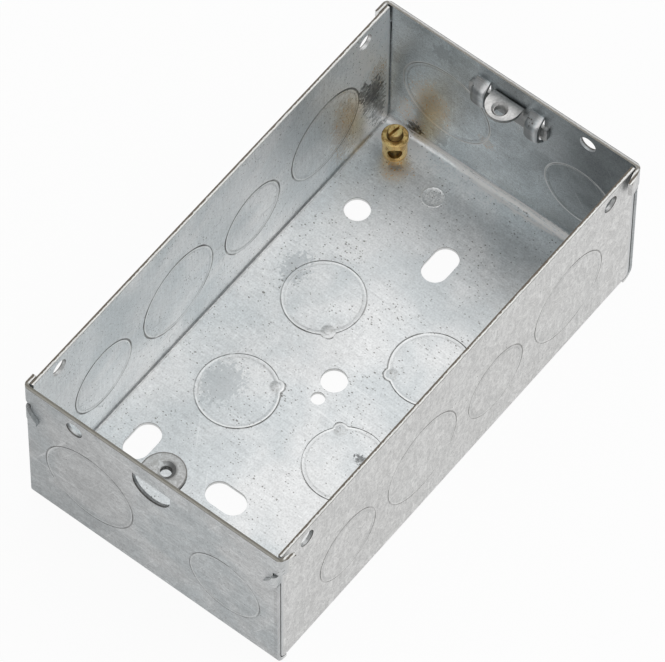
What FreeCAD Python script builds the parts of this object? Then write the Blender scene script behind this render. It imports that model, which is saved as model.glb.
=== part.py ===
import FreeCAD, Part
import math
import os
from FreeCAD import Vector

# A two-gang metal back box for flush wall fittings. One galvanised sheet is cut as a cross and folded
# up into an open box. A levelling lug slides in two bridges pressed out of one end wall, and a brass
# earth terminal with a slotted clamp screw is riveted into the floor.
#
# Frame: the origin is the middle of the back, on its outer face. +Z points out of the open side,
# +X runs along the length to the end wall with the sliding lug, and +Y across the width to the side
# wall beside the terminal. All lengths are millimetres and all angles are degrees.

# The folded sheet, measured outside to outside
LENGTH = 131.0
WIDTH = 71.0
DEPTH = 47.0
SHEET = 1.0

# Inner radii of the folds along the floor, and the gaps where folded edges meet
END_BEND = 2.2
SIDE_BEND = 0.6
CORNER_SEAM = 0.3
CORNER_RELIEF = 0.5

# Tabs at the rim: each end wall is carried round its corners onto the outside of the side walls
TAB_HEIGHT = 6.0
TAB_BEND = 0.7
TAB_CLEARANCE = 0.1
TAB_ROUNDING = 2.2
TAB_STRAIGHT = 0.22
TAB_WALL_GAP = 0.55

# For the tab at each corner, how far it reaches back along the side wall and the angle it has sprung away
TABS = {(-1, 1): (3.9, 0), (-1, -1): (3.9, 24), (1, 1): (4.4, 0), (1, -1): (5.5, 15)}

# Tongues below the tabs: each side wall is carried round the corner and closed down on the end wall
TONGUE_DROP = 0.7
TONGUE_HEIGHT = 4.3
TONGUE_REACH = 3.4
TONGUE_BEND = 0.3
TONGUE_GAP = 0.05
TONGUE_TIP = 1.5
TONGUE_TIP_DROP = 1.0
TONGUE_SWEEP = 0.28
NOTCH_GAP = 0.3

# Knock-outs. Those in the floor are sheared right round but for two ties, with a nib to prise at.
SMALL_KNOCKOUT = 20.0
LARGE_KNOCKOUT = 25.0
KERF = 0.16
FLOOR_KNOCKOUT_X = 15.9
FLOOR_KNOCKOUT_Y = 15.6
FLOOR_TIE_WIDTH = 1.2
NIB_RADIUS = 1.3

# Those in the walls keep a wide tie and a narrow one opposite, given as angles of their circle.
# The middle of the wide tie is given for each wall, seen from inside the box with the rim up.
WIDE_TIE = 80.0
NARROW_TIE = 24.0
WIDE_TIE_TURN = {"+y": -40.0, "-y": 50.0, "+x": -126.0, "-x": 135.0}
SMALL_KNOCKOUT_HEIGHT = 20.0
LARGE_KNOCKOUT_HEIGHT = 22.0
SIDE_KNOCKOUT_PITCH = 26.9
SIDE_KNOCKOUTS = 4
END_LARGE_OFFSET = 18.0
END_SMALL_OFFSET = 20.5

# Fixing holes and slots in the floor
FIXING_HOLE = 6.4
FIXING_SLOT_WIDTH = 6.5
FIXING_SLOT_LENGTH = 10.5
FIXING_X = 39.5
FIXING_Y = 24.3
PILOT_HOLE = 3.4
PILOT_X = 6.0

# Plain punched holes just below the rim, and how far they are from the outside of the box
RIM_HOLE = 4.5
RIM_HOLE_DROP = 4.0
SIDE_RIM_HOLE_INSET = 10.5
END_RIM_HOLE_INSET = 13.7

# The two tapped lugs that take the screws of a front plate, which are 120.6 apart
LUG_INSET = 5.2
LUG_DROP = 5.0
THREAD_BORE = 2.9
COLLAR_WALL = 0.75
COLLAR_LENGTH = 1.3
LEAD_IN_DEPTH = 0.6

# The fixed lug, lanced out of the end wall at -X and folded in
FIXED_LUG_WIDTH = 10.6
FIXED_LUG_BEND = 0.4
FIXED_LUG_TIP = 4.4
FIXED_LEAD_IN = 0.9
LANCE_GAP = 0.05
LANCE_DEPTH = 7.5

# The sliding lug, a strip of its own with an ear folded in from its upper edge
STRIP_THICKNESS = 1.0
STRIP_LENGTH = 22.4
STRIP_HEIGHT = 4.7
STRIP_ROUNDING = 1.0
STRIP_CLEARANCE = 0.06
EAR_WIDTH = 8.6
EAR_BEND = 0.4
EAR_TIP = 2.9
EAR_LEAD_IN = 0.55

# Bridges pressed out of the end wall at +X, which hold the strip
BRIDGE_WIDTH = 3.7
BRIDGE_SPACING = 15.3
BRIDGE_DROP = 9.8
BRIDGE_RISE = 2.7
BRIDGE_CROWN = 5.2
BRIDGE_LENGTH = 10.4
BRIDGE_SLIT = 0.12
BRIDGE_FOLD = 0.5
BRIDGE_CROWN_FOLD = 2.5
BRIDGE_ROOT = 0.6

# The earth terminal and its clamp screw, in the corner at +X +Y
TERMINAL_END_INSET = 8.1
TERMINAL_SIDE_INSET = 8.2
TERMINAL_HEIGHT = 7.0
TERMINAL_DIAMETER = 5.9
TERMINAL_HEAD = 6.4
TERMINAL_HEAD_HEIGHT = 1.4
TERMINAL_CHAMFER = 0.25
SPIGOT_DIAMETER = 4.0
SPIGOT_CLEARANCE = 0.02
WIRE_HOLE = 3.5
WIRE_HOLE_HEIGHT = 3.1
WIRE_HOLE_TURN = 38.0
SCREW_DIAMETER = 3.6
SCREW_CLEARANCE = 0.05
SCREW_ABOVE_HOLE = 0.15
SCREW_PROUD = 2.0
SCREW_CHAMFER = 0.25
SLOT_WIDTH = 0.75
SLOT_DEPTH = 1.0
SLOT_TURN = -8.0

# Places that follow from the sizes above
HALF_LENGTH = LENGTH / 2
HALF_WIDTH = WIDTH / 2
END_INNER = HALF_LENGTH - SHEET
SIDE_INNER = HALF_WIDTH - SHEET
END_BEND_OUTER = END_BEND + SHEET
SIDE_BEND_OUTER = SIDE_BEND + SHEET
TAB_BOTTOM = DEPTH - TAB_HEIGHT
TONGUE_TOP = TAB_BOTTOM - TONGUE_DROP
TONGUE_BOTTOM = TONGUE_TOP - TONGUE_HEIGHT
RIM_HOLE_HEIGHT = DEPTH - RIM_HOLE_DROP
LUG_TOP = DEPTH - LUG_DROP
LUG_X = HALF_LENGTH - LUG_INSET
BRIDGE_HEIGHT = DEPTH - BRIDGE_DROP
STRIP_BACK = END_INNER - STRIP_CLEARANCE
STRIP_FRONT = STRIP_BACK - STRIP_THICKNESS
TERMINAL_X = HALF_LENGTH - TERMINAL_END_INSET
TERMINAL_Y = HALF_WIDTH - TERMINAL_SIDE_INSET
WIRE_HOLE_CENTRE = SHEET + WIRE_HOLE_HEIGHT
TERMINAL_TOP = SHEET + TERMINAL_HEIGHT
SCREW_BOTTOM = WIRE_HOLE_CENTRE + WIRE_HOLE / 2 + SCREW_ABOVE_HOLE
SCREW_TOP = TERMINAL_TOP + SCREW_PROUD

# How far a cutting shape runs past the metal that it cuts, and how deep joined shapes overlap
PAST = 1.0
OVERLAP = 0.4

ORIGIN = Vector(0, 0, 0)
X_AXIS = Vector(1, 0, 0)
Y_AXIS = Vector(0, 1, 0)
Z_AXIS = Vector(0, 0, 1)


def polar(centre, radius, degrees):
    """Point of a circle in a plane, as a pair."""
    angle = math.radians(degrees)
    return (centre[0] + radius * math.cos(angle), centre[1] + radius * math.sin(angle))


def arc_to(centre, radius, start, end):
    """Arc step of an outline: its middle and its end, as pairs."""
    return (polar(centre, radius, (start + end) / 2), polar(centre, radius, end))


def face_of(plane, start, *steps):
    """Face inside a closed outline. A step is a pair for a straight run, or two pairs for an arc."""
    edges = []
    here = start
    for step in steps + (start,):
        is_arc = isinstance(step[0], tuple)
        end = step[1] if is_arc else step
        if is_arc:
            edges.append(Part.Arc(plane(*here), plane(*step[0]), plane(*end)).toShape())
        elif math.dist(here, end) > 1e-6:
            edges.append(Part.makeLine(plane(*here), plane(*end)))
        here = end
    return Part.Face(Part.Wire(edges))


def plan(z):
    """Level plane at a height: pairs are x, y."""
    return lambda x, y: Vector(x, y, z)


def cross(x):
    """Plane across the length: pairs are y, z."""
    return lambda y, z: Vector(x, y, z)


def along(y):
    """Plane along the length: pairs are x, z."""
    return lambda x, z: Vector(x, y, z)


def block(low, high):
    """Box between two corners."""
    return Part.makeBox(high[0] - low[0], high[1] - low[1], high[2] - low[2], Vector(*low))


def rounded_slot(length, width, height):
    """Slot with round ends, lying along local X and centred on the origin."""
    half = (length - width) / 2
    radius = width / 2
    outline = face_of(
        plan(0),
        (-half, -radius),
        (half, -radius),
        arc_to((half, 0), radius, -90, 90),
        (-half, radius),
        arc_to((-half, 0), radius, 90, 270),
    )
    return outline.extrude(Vector(0, 0, height))


def tongue_shaped(width, length, root):
    """Outline of a lug seen flat: straight sides and a round end, as pairs of run and half width."""
    radius = width / 2
    centre = (length - radius, 0)
    return [(root, -radius), (length - radius, -radius), arc_to(centre, radius, -90, 90), (root, radius)]


def wall_place(wall, run, height):
    """Placement on a wall's outer face: local Z points into the box, Y up and X along the wall."""
    inward = {"+x": (-1, 0), "-x": (1, 0), "+y": (0, -1), "-y": (0, 1)}[wall]
    across = (-inward[1], inward[0])
    side = 1 if wall[0] == "+" else -1
    base = (side * HALF_LENGTH, run) if wall[1] == "x" else (run, side * HALF_WIDTH)
    matrix = FreeCAD.Matrix(
        across[0], 0, inward[0], base[0],
        across[1], 0, inward[1], base[1],
        0, 1, 0, height,
        0, 0, 0, 1,
    )
    return FreeCAD.Placement(matrix)


def placed(shape, placement):
    """Copy of a shape, moved to a placement."""
    copy = shape.copy()
    copy.Placement = placement.multiply(copy.Placement)
    return copy


def nearest_edge(solid, point):
    """Edge of a solid whose middle is nearest to a point."""
    return min(solid.Edges, key=lambda edge: edge.CenterOfMass.distanceToPoint(point))


def at_corner(shape, x_side, y_side):
    """Shape drawn for the +X +Y corner, carried to the corner on the given sides."""
    if x_side < 0:
        shape = shape.mirror(ORIGIN, X_AXIS)
    if y_side < 0:
        shape = shape.mirror(ORIGIN, Y_AXIS)
    return shape


def folded_section(plane, outer, bend):
    """Section of a wall folded up from the floor: outer is its outside, bend its inner radius."""
    outer_bend = bend + SHEET
    root = outer - outer_bend
    centre = (root, outer_bend)
    return face_of(
        plane,
        (root, 0),
        arc_to(centre, outer_bend, -90, 0),
        (outer, DEPTH),
        (outer - SHEET, DEPTH),
        (outer - SHEET, outer_bend),
        arc_to(centre, bend, 0, -90),
    )


def floor():
    """Flat floor between the folds."""
    x = HALF_LENGTH - END_BEND_OUTER
    y = HALF_WIDTH - SIDE_BEND_OUTER
    return block((-x, -y, 0), (x, y, SHEET))


def side_wall():
    """Side wall at +Y with its fold, running between the end walls."""
    reach = END_INNER - CORNER_SEAM
    section = folded_section(cross(-reach), HALF_WIDTH, SIDE_BEND)
    return section.extrude(Vector(2 * reach, 0, 0))


def end_wall():
    """End wall at +X with its fold, across the whole width."""
    section = folded_section(along(-HALF_WIDTH), HALF_LENGTH, END_BEND)
    return section.extrude(Vector(0, WIDTH, 0))


def side_wall_trim():
    """Metal taken off a side wall at the +X +Y corner, where the end wall passes it."""
    bend_x = HALF_LENGTH - END_BEND_OUTER
    low_y = HALF_WIDTH - SIDE_BEND_OUTER
    high_y = HALF_WIDTH + PAST
    under_bend = block((bend_x, low_y, -PAST), (HALF_LENGTH, high_y, END_BEND_OUTER))
    inside = Part.makeCylinder(
        END_BEND - CORNER_SEAM,
        high_y - low_y + 2 * PAST,
        Vector(bend_x, low_y - PAST, END_BEND_OUTER),
        Y_AXIS,
    )
    relief = block((bend_x - CORNER_RELIEF, low_y, -PAST), (bend_x, high_y, SIDE_BEND_OUTER))
    above = block(
        (END_INNER - TAB_WALL_GAP, SIDE_INNER - PAST, TONGUE_TOP),
        (HALF_LENGTH, high_y, DEPTH + PAST),
    )
    return [under_bend.cut(inside), relief, above]


def end_wall_trim():
    """Metal taken off an end wall at the +X +Y corner: the tongue's notch and the tab's root."""
    low_x = END_INNER - PAST
    high_x = HALF_LENGTH + PAST
    notch = block(
        (low_x, SIDE_INNER - NOTCH_GAP, TONGUE_BOTTOM - NOTCH_GAP),
        (high_x, HALF_WIDTH + PAST, TAB_BOTTOM),
    )
    root = block((low_x, tab_root(), TAB_BOTTOM), (high_x, HALF_WIDTH + PAST, DEPTH + PAST))
    return [notch, root]


def tab_root():
    """Where across the width a tab's bend starts."""
    return HALF_WIDTH + TAB_CLEARANCE - TAB_BEND


def tab(reach, spring):
    """Rim tab at the +X +Y corner: a bend round the corner and a leg back along the side wall."""
    centre = (END_INNER - TAB_BEND, tab_root())
    turn = 90 - spring
    outer_radius = TAB_BEND + SHEET
    outer_end = polar(centre, outer_radius, turn)
    inner_end = polar(centre, TAB_BEND, turn)
    leg = (outer_end[0] - (HALF_LENGTH - reach)) / math.cos(math.radians(spring))
    forward = (-math.cos(math.radians(spring)), math.sin(math.radians(spring)))
    outer_tip = (outer_end[0] + leg * forward[0], outer_end[1] + leg * forward[1])
    inner_tip = (inner_end[0] + leg * forward[0], inner_end[1] + leg * forward[1])
    outline = face_of(
        plan(TAB_BOTTOM),
        (HALF_LENGTH, centre[1] - OVERLAP),
        (HALF_LENGTH, centre[1]),
        arc_to(centre, outer_radius, 0, turn),
        outer_tip,
        inner_tip,
        inner_end,
        arc_to(centre, TAB_BEND, turn, 0),
        (END_INNER, centre[1] - OVERLAP),
    )
    solid = outline.extrude(Vector(0, 0, TAB_HEIGHT))
    middle = Vector((outer_tip[0] + inner_tip[0]) / 2, (outer_tip[1] + inner_tip[1]) / 2, TAB_BOTTOM)
    rounding = min(TAB_ROUNDING, leg - TAB_STRAIGHT)
    return solid.makeFillet(rounding, [nearest_edge(solid, middle)])


def tongue():
    """Side-wall tongue at the +X +Y corner, closed down like a claw on the end wall's outside."""
    face_x = HALF_LENGTH + TONGUE_GAP
    centre = (face_x - TONGUE_BEND, SIDE_INNER - TONGUE_BEND)
    tip_y = HALF_WIDTH - TONGUE_REACH
    low = TONGUE_BOTTOM - TONGUE_TIP_DROP
    root_x = END_INNER - CORNER_SEAM - OVERLAP
    outline = face_of(
        plan(low),
        (root_x, SIDE_INNER),
        (centre[0], SIDE_INNER),
        arc_to(centre, TONGUE_BEND, 90, 0),
        (face_x, tip_y),
        (face_x + SHEET, tip_y),
        (face_x + SHEET, centre[1]),
        arc_to(centre, TONGUE_BEND + SHEET, 0, 90),
        (root_x, HALF_WIDTH),
    )
    strip = outline.extrude(Vector(0, 0, TONGUE_TOP - low))
    heel_y = centre[1]
    under = face_of(
        cross(root_x - PAST),
        (HALF_WIDTH + PAST, low - PAST),
        (HALF_WIDTH + PAST, TONGUE_BOTTOM),
        (heel_y, TONGUE_BOTTOM),
        (tip_y, low),
        (tip_y, low - PAST),
    )
    tip_top = low + TONGUE_TIP
    hollow = ((heel_y + tip_y) / 2, tip_top + (TONGUE_TOP - tip_top) * TONGUE_SWEEP)
    over = face_of(
        cross(root_x - PAST),
        (heel_y + OVERLAP, TONGUE_TOP + PAST),
        (heel_y + OVERLAP, TONGUE_TOP),
        (hollow, (tip_y, tip_top)),
        (tip_y - PAST, tip_top),
        (tip_y - PAST, TONGUE_TOP + PAST),
    )
    through = Vector(HALF_LENGTH - root_x + SHEET + 2 * PAST + TONGUE_GAP, 0, 0)
    return strip.cut([under.extrude(through), over.extrude(through)])


def nibbed_disc(inset):
    """Disc and nib of a floor knock-out, inset from the sheared line, with the nib along local X."""
    base = Vector(0, 0, -PAST)
    height = SHEET + 2 * PAST
    disc = Part.makeCylinder(SMALL_KNOCKOUT / 2 - inset, height, base)
    nib = Part.makeCylinder(NIB_RADIUS - inset, height, base + Vector(SMALL_KNOCKOUT / 2, 0, 0))
    return disc.fuse(nib)


def floor_knockouts():
    """Metal sheared away round the floor knock-outs, each with its nib towards the middle."""
    reach = SMALL_KNOCKOUT / 2 + PAST
    half_tie = FLOOR_TIE_WIDTH / 2
    ties = block((-half_tie, -reach, -PAST), (half_tie, reach, SHEET + PAST))
    slit = nibbed_disc(0).cut(nibbed_disc(KERF)).cut(ties)
    slits = []
    for x_side in (-1, 1):
        for y_side in (-1, 1):
            turn = math.degrees(math.atan2(-y_side, -x_side))
            place = floor_place(x_side * FLOOR_KNOCKOUT_X, y_side * FLOOR_KNOCKOUT_Y, turn)
            slits.append(placed(slit, place))
    return slits


def arc_slits(diameter, turn):
    """Both slits of a wall knock-out in local place, with the wide tie's middle at an angle."""
    base = Vector(0, 0, -PAST)
    height = SHEET + 2 * PAST
    sweep = (360 - WIDE_TIE - NARROW_TIE) / 2
    core = Part.makeCylinder(diameter / 2 - KERF, height, base)
    slits = []
    for start in (turn + WIDE_TIE / 2, turn - WIDE_TIE / 2 - sweep):
        sector = Part.makeCylinder(diameter / 2, height, base, Z_AXIS, sweep)
        sector.rotate(ORIGIN, Z_AXIS, start)
        slits.append(sector.cut(core))
    return slits


def wall_knockouts():
    """Metal sheared away round the wall knock-outs."""
    small = (SMALL_KNOCKOUT_HEIGHT, SMALL_KNOCKOUT)
    large = (LARGE_KNOCKOUT_HEIGHT, LARGE_KNOCKOUT)
    rows = [("+x", END_LARGE_OFFSET, large), ("+x", -END_SMALL_OFFSET, small)]
    rows += [("-x", END_LARGE_OFFSET, large), ("-x", -END_SMALL_OFFSET, small)]
    for wall in ("+y", "-y"):
        for number in range(SIDE_KNOCKOUTS):
            run = (number - (SIDE_KNOCKOUTS - 1) / 2) * SIDE_KNOCKOUT_PITCH
            rows.append((wall, run, large if number % 2 else small))
    slits = []
    for wall, run, (height, diameter) in rows:
        place = wall_place(wall, run, height)
        slits += [placed(slit, place) for slit in arc_slits(diameter, WIDE_TIE_TURN[wall])]
    return slits


def through_hole(diameter, placement):
    """Round hole through the sheet at a placement on its outer face."""
    drill = Part.makeCylinder(diameter / 2, SHEET + 2 * PAST, Vector(0, 0, -PAST))
    return placed(drill, placement)


def floor_place(x, y, turn=0):
    """Placement on the floor's outer face."""
    return FreeCAD.Placement(Vector(x, y, 0), FreeCAD.Rotation(Z_AXIS, turn))


def floor_holes():
    """Fixing holes and slots, the pilot hole and the rivet hole of the terminal."""
    slot = rounded_slot(FIXING_SLOT_LENGTH, FIXING_SLOT_WIDTH, SHEET + 2 * PAST)
    slot.translate(Vector(0, 0, -PAST))
    return [
        placed(slot, floor_place(FIXING_X, 0)),
        placed(slot, floor_place(-FIXING_X, FIXING_Y)),
        placed(slot, floor_place(-FIXING_X, 0, 90)),
        through_hole(FIXING_HOLE, floor_place(0, 0)),
        through_hole(FIXING_HOLE, floor_place(FIXING_X, FIXING_Y)),
        through_hole(PILOT_HOLE, floor_place(-PILOT_X, 0)),
        through_hole(SPIGOT_DIAMETER + 2 * SPIGOT_CLEARANCE, floor_place(TERMINAL_X, TERMINAL_Y)),
    ]


def rim_holes():
    """Punched holes below the rim."""
    side_run = HALF_LENGTH - SIDE_RIM_HOLE_INSET
    end_run = HALF_WIDTH - END_RIM_HOLE_INSET
    rows = [(wall, run) for wall in ("+y", "-y") for run in (-side_run, side_run)]
    rows += [("-x", end_run), ("+x", -end_run)]
    return [through_hole(RIM_HOLE, wall_place(wall, run, RIM_HOLE_HEIGHT)) for wall, run in rows]


def ear_section(plane, thickness, bend, start, tip):
    """Section of an ear folded level out of an upright sheet, as pairs of run and height.

    The upright sheet starts above the ear or below it, and the ear's top face is at LUG_TOP."""
    side = 1 if start > LUG_TOP else -1
    inner = LUG_TOP if side > 0 else LUG_TOP - thickness
    centre = (thickness + bend, inner + side * bend)
    turn = 180 + side * 90
    return face_of(
        plane,
        (0, start),
        (0, centre[1]),
        arc_to(centre, thickness + bend, 180, turn),
        (tip, inner - side * thickness),
        (tip, inner),
        (centre[0], inner),
        arc_to(centre, bend, turn, 180),
        (thickness, start),
    )


def tapped_collar(thickness, lead_in):
    """Plunged collar of a tapped hole on the Z axis: the metal added, and the hole with its lead-in."""
    bore = THREAD_BORE / 2
    bottom = LUG_TOP - thickness - COLLAR_LENGTH
    collar = Part.makeCylinder(bore + COLLAR_WALL, COLLAR_LENGTH + OVERLAP, Vector(0, 0, bottom))
    outline = face_of(
        along(0),
        (0, bottom - PAST),
        (bore, bottom - PAST),
        (bore, LUG_TOP - LEAD_IN_DEPTH),
        (bore + lead_in, LUG_TOP),
        (bore + lead_in, LUG_TOP + PAST),
        (0, LUG_TOP + PAST),
    )
    return collar, outline.revolve(ORIGIN, Z_AXIS, 360)


def fixed_lug():
    """Fixed lug at -X: the cut in the end wall, and the lug with its tapped collar."""
    run = HALF_LENGTH - LUG_X + FIXED_LUG_TIP
    half = FIXED_LUG_WIDTH / 2
    root = LUG_TOP + FIXED_LUG_BEND + OVERLAP
    section = ear_section(
        lambda u, z: Vector(u - HALF_LENGTH, -half, z), SHEET, FIXED_LUG_BEND, root, run
    )
    lug = section.extrude(Vector(0, FIXED_LUG_WIDTH, 0))
    outline = tongue_shaped(FIXED_LUG_WIDTH, run, 0)
    flat = face_of(lambda u, v: Vector(u - HALF_LENGTH, v, LUG_TOP - SHEET - PAST), *outline)
    lug = lug.common(flat.extrude(Vector(0, 0, SHEET + FIXED_LUG_BEND + OVERLAP + 2 * PAST)))
    collar, hole = tapped_collar(SHEET, FIXED_LEAD_IN)
    collar.translate(Vector(-LUG_X, 0, 0))
    hole.translate(Vector(-LUG_X, 0, 0))
    lug = lug.fuse(collar).cut(hole)
    top = LUG_TOP + FIXED_LUG_BEND
    lance = tongue_shaped(FIXED_LUG_WIDTH + 2 * LANCE_GAP, LANCE_DEPTH, 0)
    window = face_of(lambda u, v: Vector(-HALF_LENGTH - PAST, v, top - u), *lance)
    return window.extrude(Vector(SHEET + 2 * PAST, 0, 0)), lug


def bridge():
    """Bridge pressed into the box from the end wall at +X, in the middle of the width."""
    foot = BRIDGE_LENGTH / 2
    crown = BRIDGE_CROWN / 2
    end = foot + BRIDGE_ROOT
    shift = SHEET * math.tan(math.atan2(BRIDGE_RISE, foot - crown) / 2)
    inner = [(end, 0), (foot, 0), (crown, BRIDGE_RISE)]
    outer = [(end, -SHEET), (foot - shift, -SHEET), (crown - shift, BRIDGE_RISE - SHEET)]
    upper = inner[::-1] + outer
    outline = face_of(
        lambda height, rise: Vector(END_INNER - rise, -BRIDGE_WIDTH / 2, BRIDGE_HEIGHT + height),
        *[(-height, rise) for height, rise in inner],
        *upper,
        *[(-height, rise) for height, rise in outer[::-1]],
    )
    solid = outline.extrude(Vector(0, BRIDGE_WIDTH, 0))
    radii = (BRIDGE_FOLD, BRIDGE_CROWN_FOLD + SHEET, BRIDGE_FOLD + SHEET, BRIDGE_CROWN_FOLD)
    for (height, rise), radius in zip(inner[1:] + outer[1:], radii):
        for side in (-1, 1):
            point = Vector(END_INNER - rise, 0, BRIDGE_HEIGHT + side * height)
            solid = solid.makeFillet(radius, [nearest_edge(solid, point)])
    return solid


def bridges():
    """Both bridges and the openings that they are pressed out of."""
    window = block(
        (END_INNER - PAST, -BRIDGE_WIDTH / 2 - BRIDGE_SLIT, BRIDGE_HEIGHT - BRIDGE_LENGTH / 2),
        (HALF_LENGTH + PAST, BRIDGE_WIDTH / 2 + BRIDGE_SLIT, BRIDGE_HEIGHT + BRIDGE_LENGTH / 2),
    )
    cuts = []
    loops = []
    for side in (-1, 1):
        shift = Vector(0, side * BRIDGE_SPACING / 2, 0)
        for shape, group in ((window, cuts), (bridge(), loops)):
            copy = shape.copy()
            copy.translate(shift)
            group.append(copy)
    return cuts, loops


def shell():
    """The folded sheet with everything that is cut, lanced and pressed in it."""
    bridge_cuts, bridge_loops = bridges()
    lance, lug = fixed_lug()
    sides = [side_wall(), side_wall().mirror(ORIGIN, Y_AXIS)]
    ends = [end_wall(), end_wall().mirror(ORIGIN, X_AXIS)]
    corners = [(x_side, y_side) for x_side in (-1, 1) for y_side in (-1, 1)]
    side_cuts = [at_corner(shape, *corner) for corner in corners for shape in side_wall_trim()]
    end_cuts = [at_corner(shape, *corner) for corner in corners for shape in end_wall_trim()]
    sides = [wall.cut(side_cuts) for wall in sides]
    ends = [wall.cut(end_cuts + bridge_cuts + [lance]) for wall in ends]
    tabs = [at_corner(tab(*TABS[corner]), *corner) for corner in corners]
    tongues = [at_corner(tongue(), *corner) for corner in corners]
    body = floor().fuse(sides + ends + tabs + tongues + bridge_loops + [lug])
    cuts = floor_holes() + floor_knockouts() + rim_holes() + wall_knockouts()
    return body.cut(cuts).removeSplitter()


def adjustable_lug():
    """Sliding lug: a strip held in the bridges, with an ear folded in over its middle."""
    run = STRIP_BACK - LUG_X + EAR_TIP
    half = EAR_WIDTH / 2
    low = BRIDGE_HEIGHT - STRIP_HEIGHT / 2
    section = ear_section(
        lambda u, z: Vector(STRIP_BACK - u, -half, z), STRIP_THICKNESS, EAR_BEND, low, run
    )
    lug = section.extrude(Vector(0, EAR_WIDTH, 0))
    outline = tongue_shaped(EAR_WIDTH, run, 0)
    flat = face_of(lambda u, v: Vector(STRIP_BACK - u, v, low - PAST), *outline)
    lug = lug.common(flat.extrude(Vector(0, 0, LUG_TOP - low + 2 * PAST)))
    collar, hole = tapped_collar(STRIP_THICKNESS, EAR_LEAD_IN)
    collar.translate(Vector(LUG_X, 0, 0))
    hole.translate(Vector(LUG_X, 0, 0))
    strip = block(
        (STRIP_FRONT, -STRIP_LENGTH / 2, low),
        (STRIP_BACK, STRIP_LENGTH / 2, low + STRIP_HEIGHT),
    )
    upright = [e for e in strip.Edges if abs(abs(e.CenterOfMass.y) - STRIP_LENGTH / 2) < 1e-6]
    corners = [e for e in upright if abs(e.Length - STRIP_THICKNESS) < 1e-6]
    strip = strip.makeFillet(STRIP_ROUNDING, corners)
    return strip.fuse([lug, collar]).cut(hole).removeSplitter()


def earth_terminal():
    """Brass post on a spigot through the floor, with a cross hole for the wire and a screw's bore."""
    radius = TERMINAL_DIAMETER / 2
    head = TERMINAL_HEAD / 2
    under_head = TERMINAL_TOP - TERMINAL_HEAD_HEIGHT
    spigot = SPIGOT_DIAMETER / 2
    outline = face_of(
        along(0),
        (0, 0),
        (spigot, 0),
        (spigot, SHEET),
        (radius, SHEET),
        (radius, under_head - (head - radius)),
        (head, under_head),
        (head, TERMINAL_TOP - TERMINAL_CHAMFER),
        (head - TERMINAL_CHAMFER, TERMINAL_TOP),
        (0, TERMINAL_TOP),
    )
    post = outline.revolve(ORIGIN, Z_AXIS, 360)
    wire = Part.makeCylinder(
        WIRE_HOLE / 2, 4 * radius, Vector(-2 * radius, 0, WIRE_HOLE_CENTRE), X_AXIS
    )
    wire.rotate(ORIGIN, Z_AXIS, WIRE_HOLE_TURN)
    bore = Part.makeCylinder(
        SCREW_DIAMETER / 2 + SCREW_CLEARANCE, TERMINAL_TOP, Vector(0, 0, WIRE_HOLE_CENTRE)
    )
    post = post.cut([wire, bore])
    post.translate(Vector(TERMINAL_X, TERMINAL_Y, 0))
    return post


def terminal_screw():
    """Slotted clamp screw of the terminal."""
    radius = SCREW_DIAMETER / 2
    outline = face_of(
        along(0),
        (0, SCREW_BOTTOM),
        (radius - SCREW_CHAMFER, SCREW_BOTTOM),
        (radius, SCREW_BOTTOM + SCREW_CHAMFER),
        (radius, SCREW_TOP - SCREW_CHAMFER),
        (radius - SCREW_CHAMFER, SCREW_TOP),
        (0, SCREW_TOP),
    )
    screw = outline.revolve(ORIGIN, Z_AXIS, 360)
    slot = block(
        (-radius - PAST, -SLOT_WIDTH / 2, SCREW_TOP - SLOT_DEPTH),
        (radius + PAST, SLOT_WIDTH / 2, SCREW_TOP + PAST),
    )
    slot.rotate(ORIGIN, Z_AXIS, SLOT_TURN)
    screw = screw.cut(slot)
    screw.translate(Vector(TERMINAL_X, TERMINAL_Y, 0))
    return screw


NODES = {
    "shell": shell,
    "adjustable_lug": adjustable_lug,
    "earth_terminal": earth_terminal,
    "terminal_screw": terminal_screw,
}

os.makedirs("parts", exist_ok=True)
for name, build in NODES.items():
    shape = build()
    solids = shape.Solids
    assert len(solids) == 1 and solids[0].isValid(), f"{name} is not one valid solid"
    solids[0].exportStep(f"parts/{name}.step")
    print(f"{name}: {solids[0].Volume:.1f} cubic mm")
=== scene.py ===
"""Looks of a two-gang galvanised metal back box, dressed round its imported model.

Every length in this file is a number of millimetres until it is handed to Blender, which works in metres.
The origin is the middle of the back of the box, +Z points out of the open side, +X runs along the
length to the end wall with the sliding lug, and +Y across the width to the wall beside the terminal.
"""

import logging
import math
from dataclasses import dataclass, field
from enum import Enum
from typing import Callable, Iterable, Sequence

import bmesh
import bpy
from mathutils import Matrix, Vector


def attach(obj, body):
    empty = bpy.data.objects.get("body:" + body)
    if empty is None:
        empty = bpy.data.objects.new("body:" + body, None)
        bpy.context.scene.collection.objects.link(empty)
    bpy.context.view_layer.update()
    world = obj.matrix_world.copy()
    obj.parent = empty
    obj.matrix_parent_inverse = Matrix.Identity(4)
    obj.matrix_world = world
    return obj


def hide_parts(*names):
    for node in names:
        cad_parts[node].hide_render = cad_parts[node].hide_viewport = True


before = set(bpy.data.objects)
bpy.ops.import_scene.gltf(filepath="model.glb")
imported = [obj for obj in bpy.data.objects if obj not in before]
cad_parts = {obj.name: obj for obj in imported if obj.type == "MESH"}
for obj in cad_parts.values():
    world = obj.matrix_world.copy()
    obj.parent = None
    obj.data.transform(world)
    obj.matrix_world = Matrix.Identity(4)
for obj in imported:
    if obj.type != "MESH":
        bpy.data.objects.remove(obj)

log = logging.getLogger("back_box")

MM = 0.001
PER_METRE = 1000.0
Point = tuple[float, float, float]
Colour = tuple[float, float, float]
Faces = list[tuple[int, ...]]
Socket = bpy.types.NodeSocket
WHITE: Colour = (1.0, 1.0, 1.0)
# Offset that sets the outside of the sheet apart in the patterns, and how much a mark makes of it.
OUTSIDE_LAYER = 0.37
MARK_LAYER_SCALE = 10.0


# Sizes and names


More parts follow.
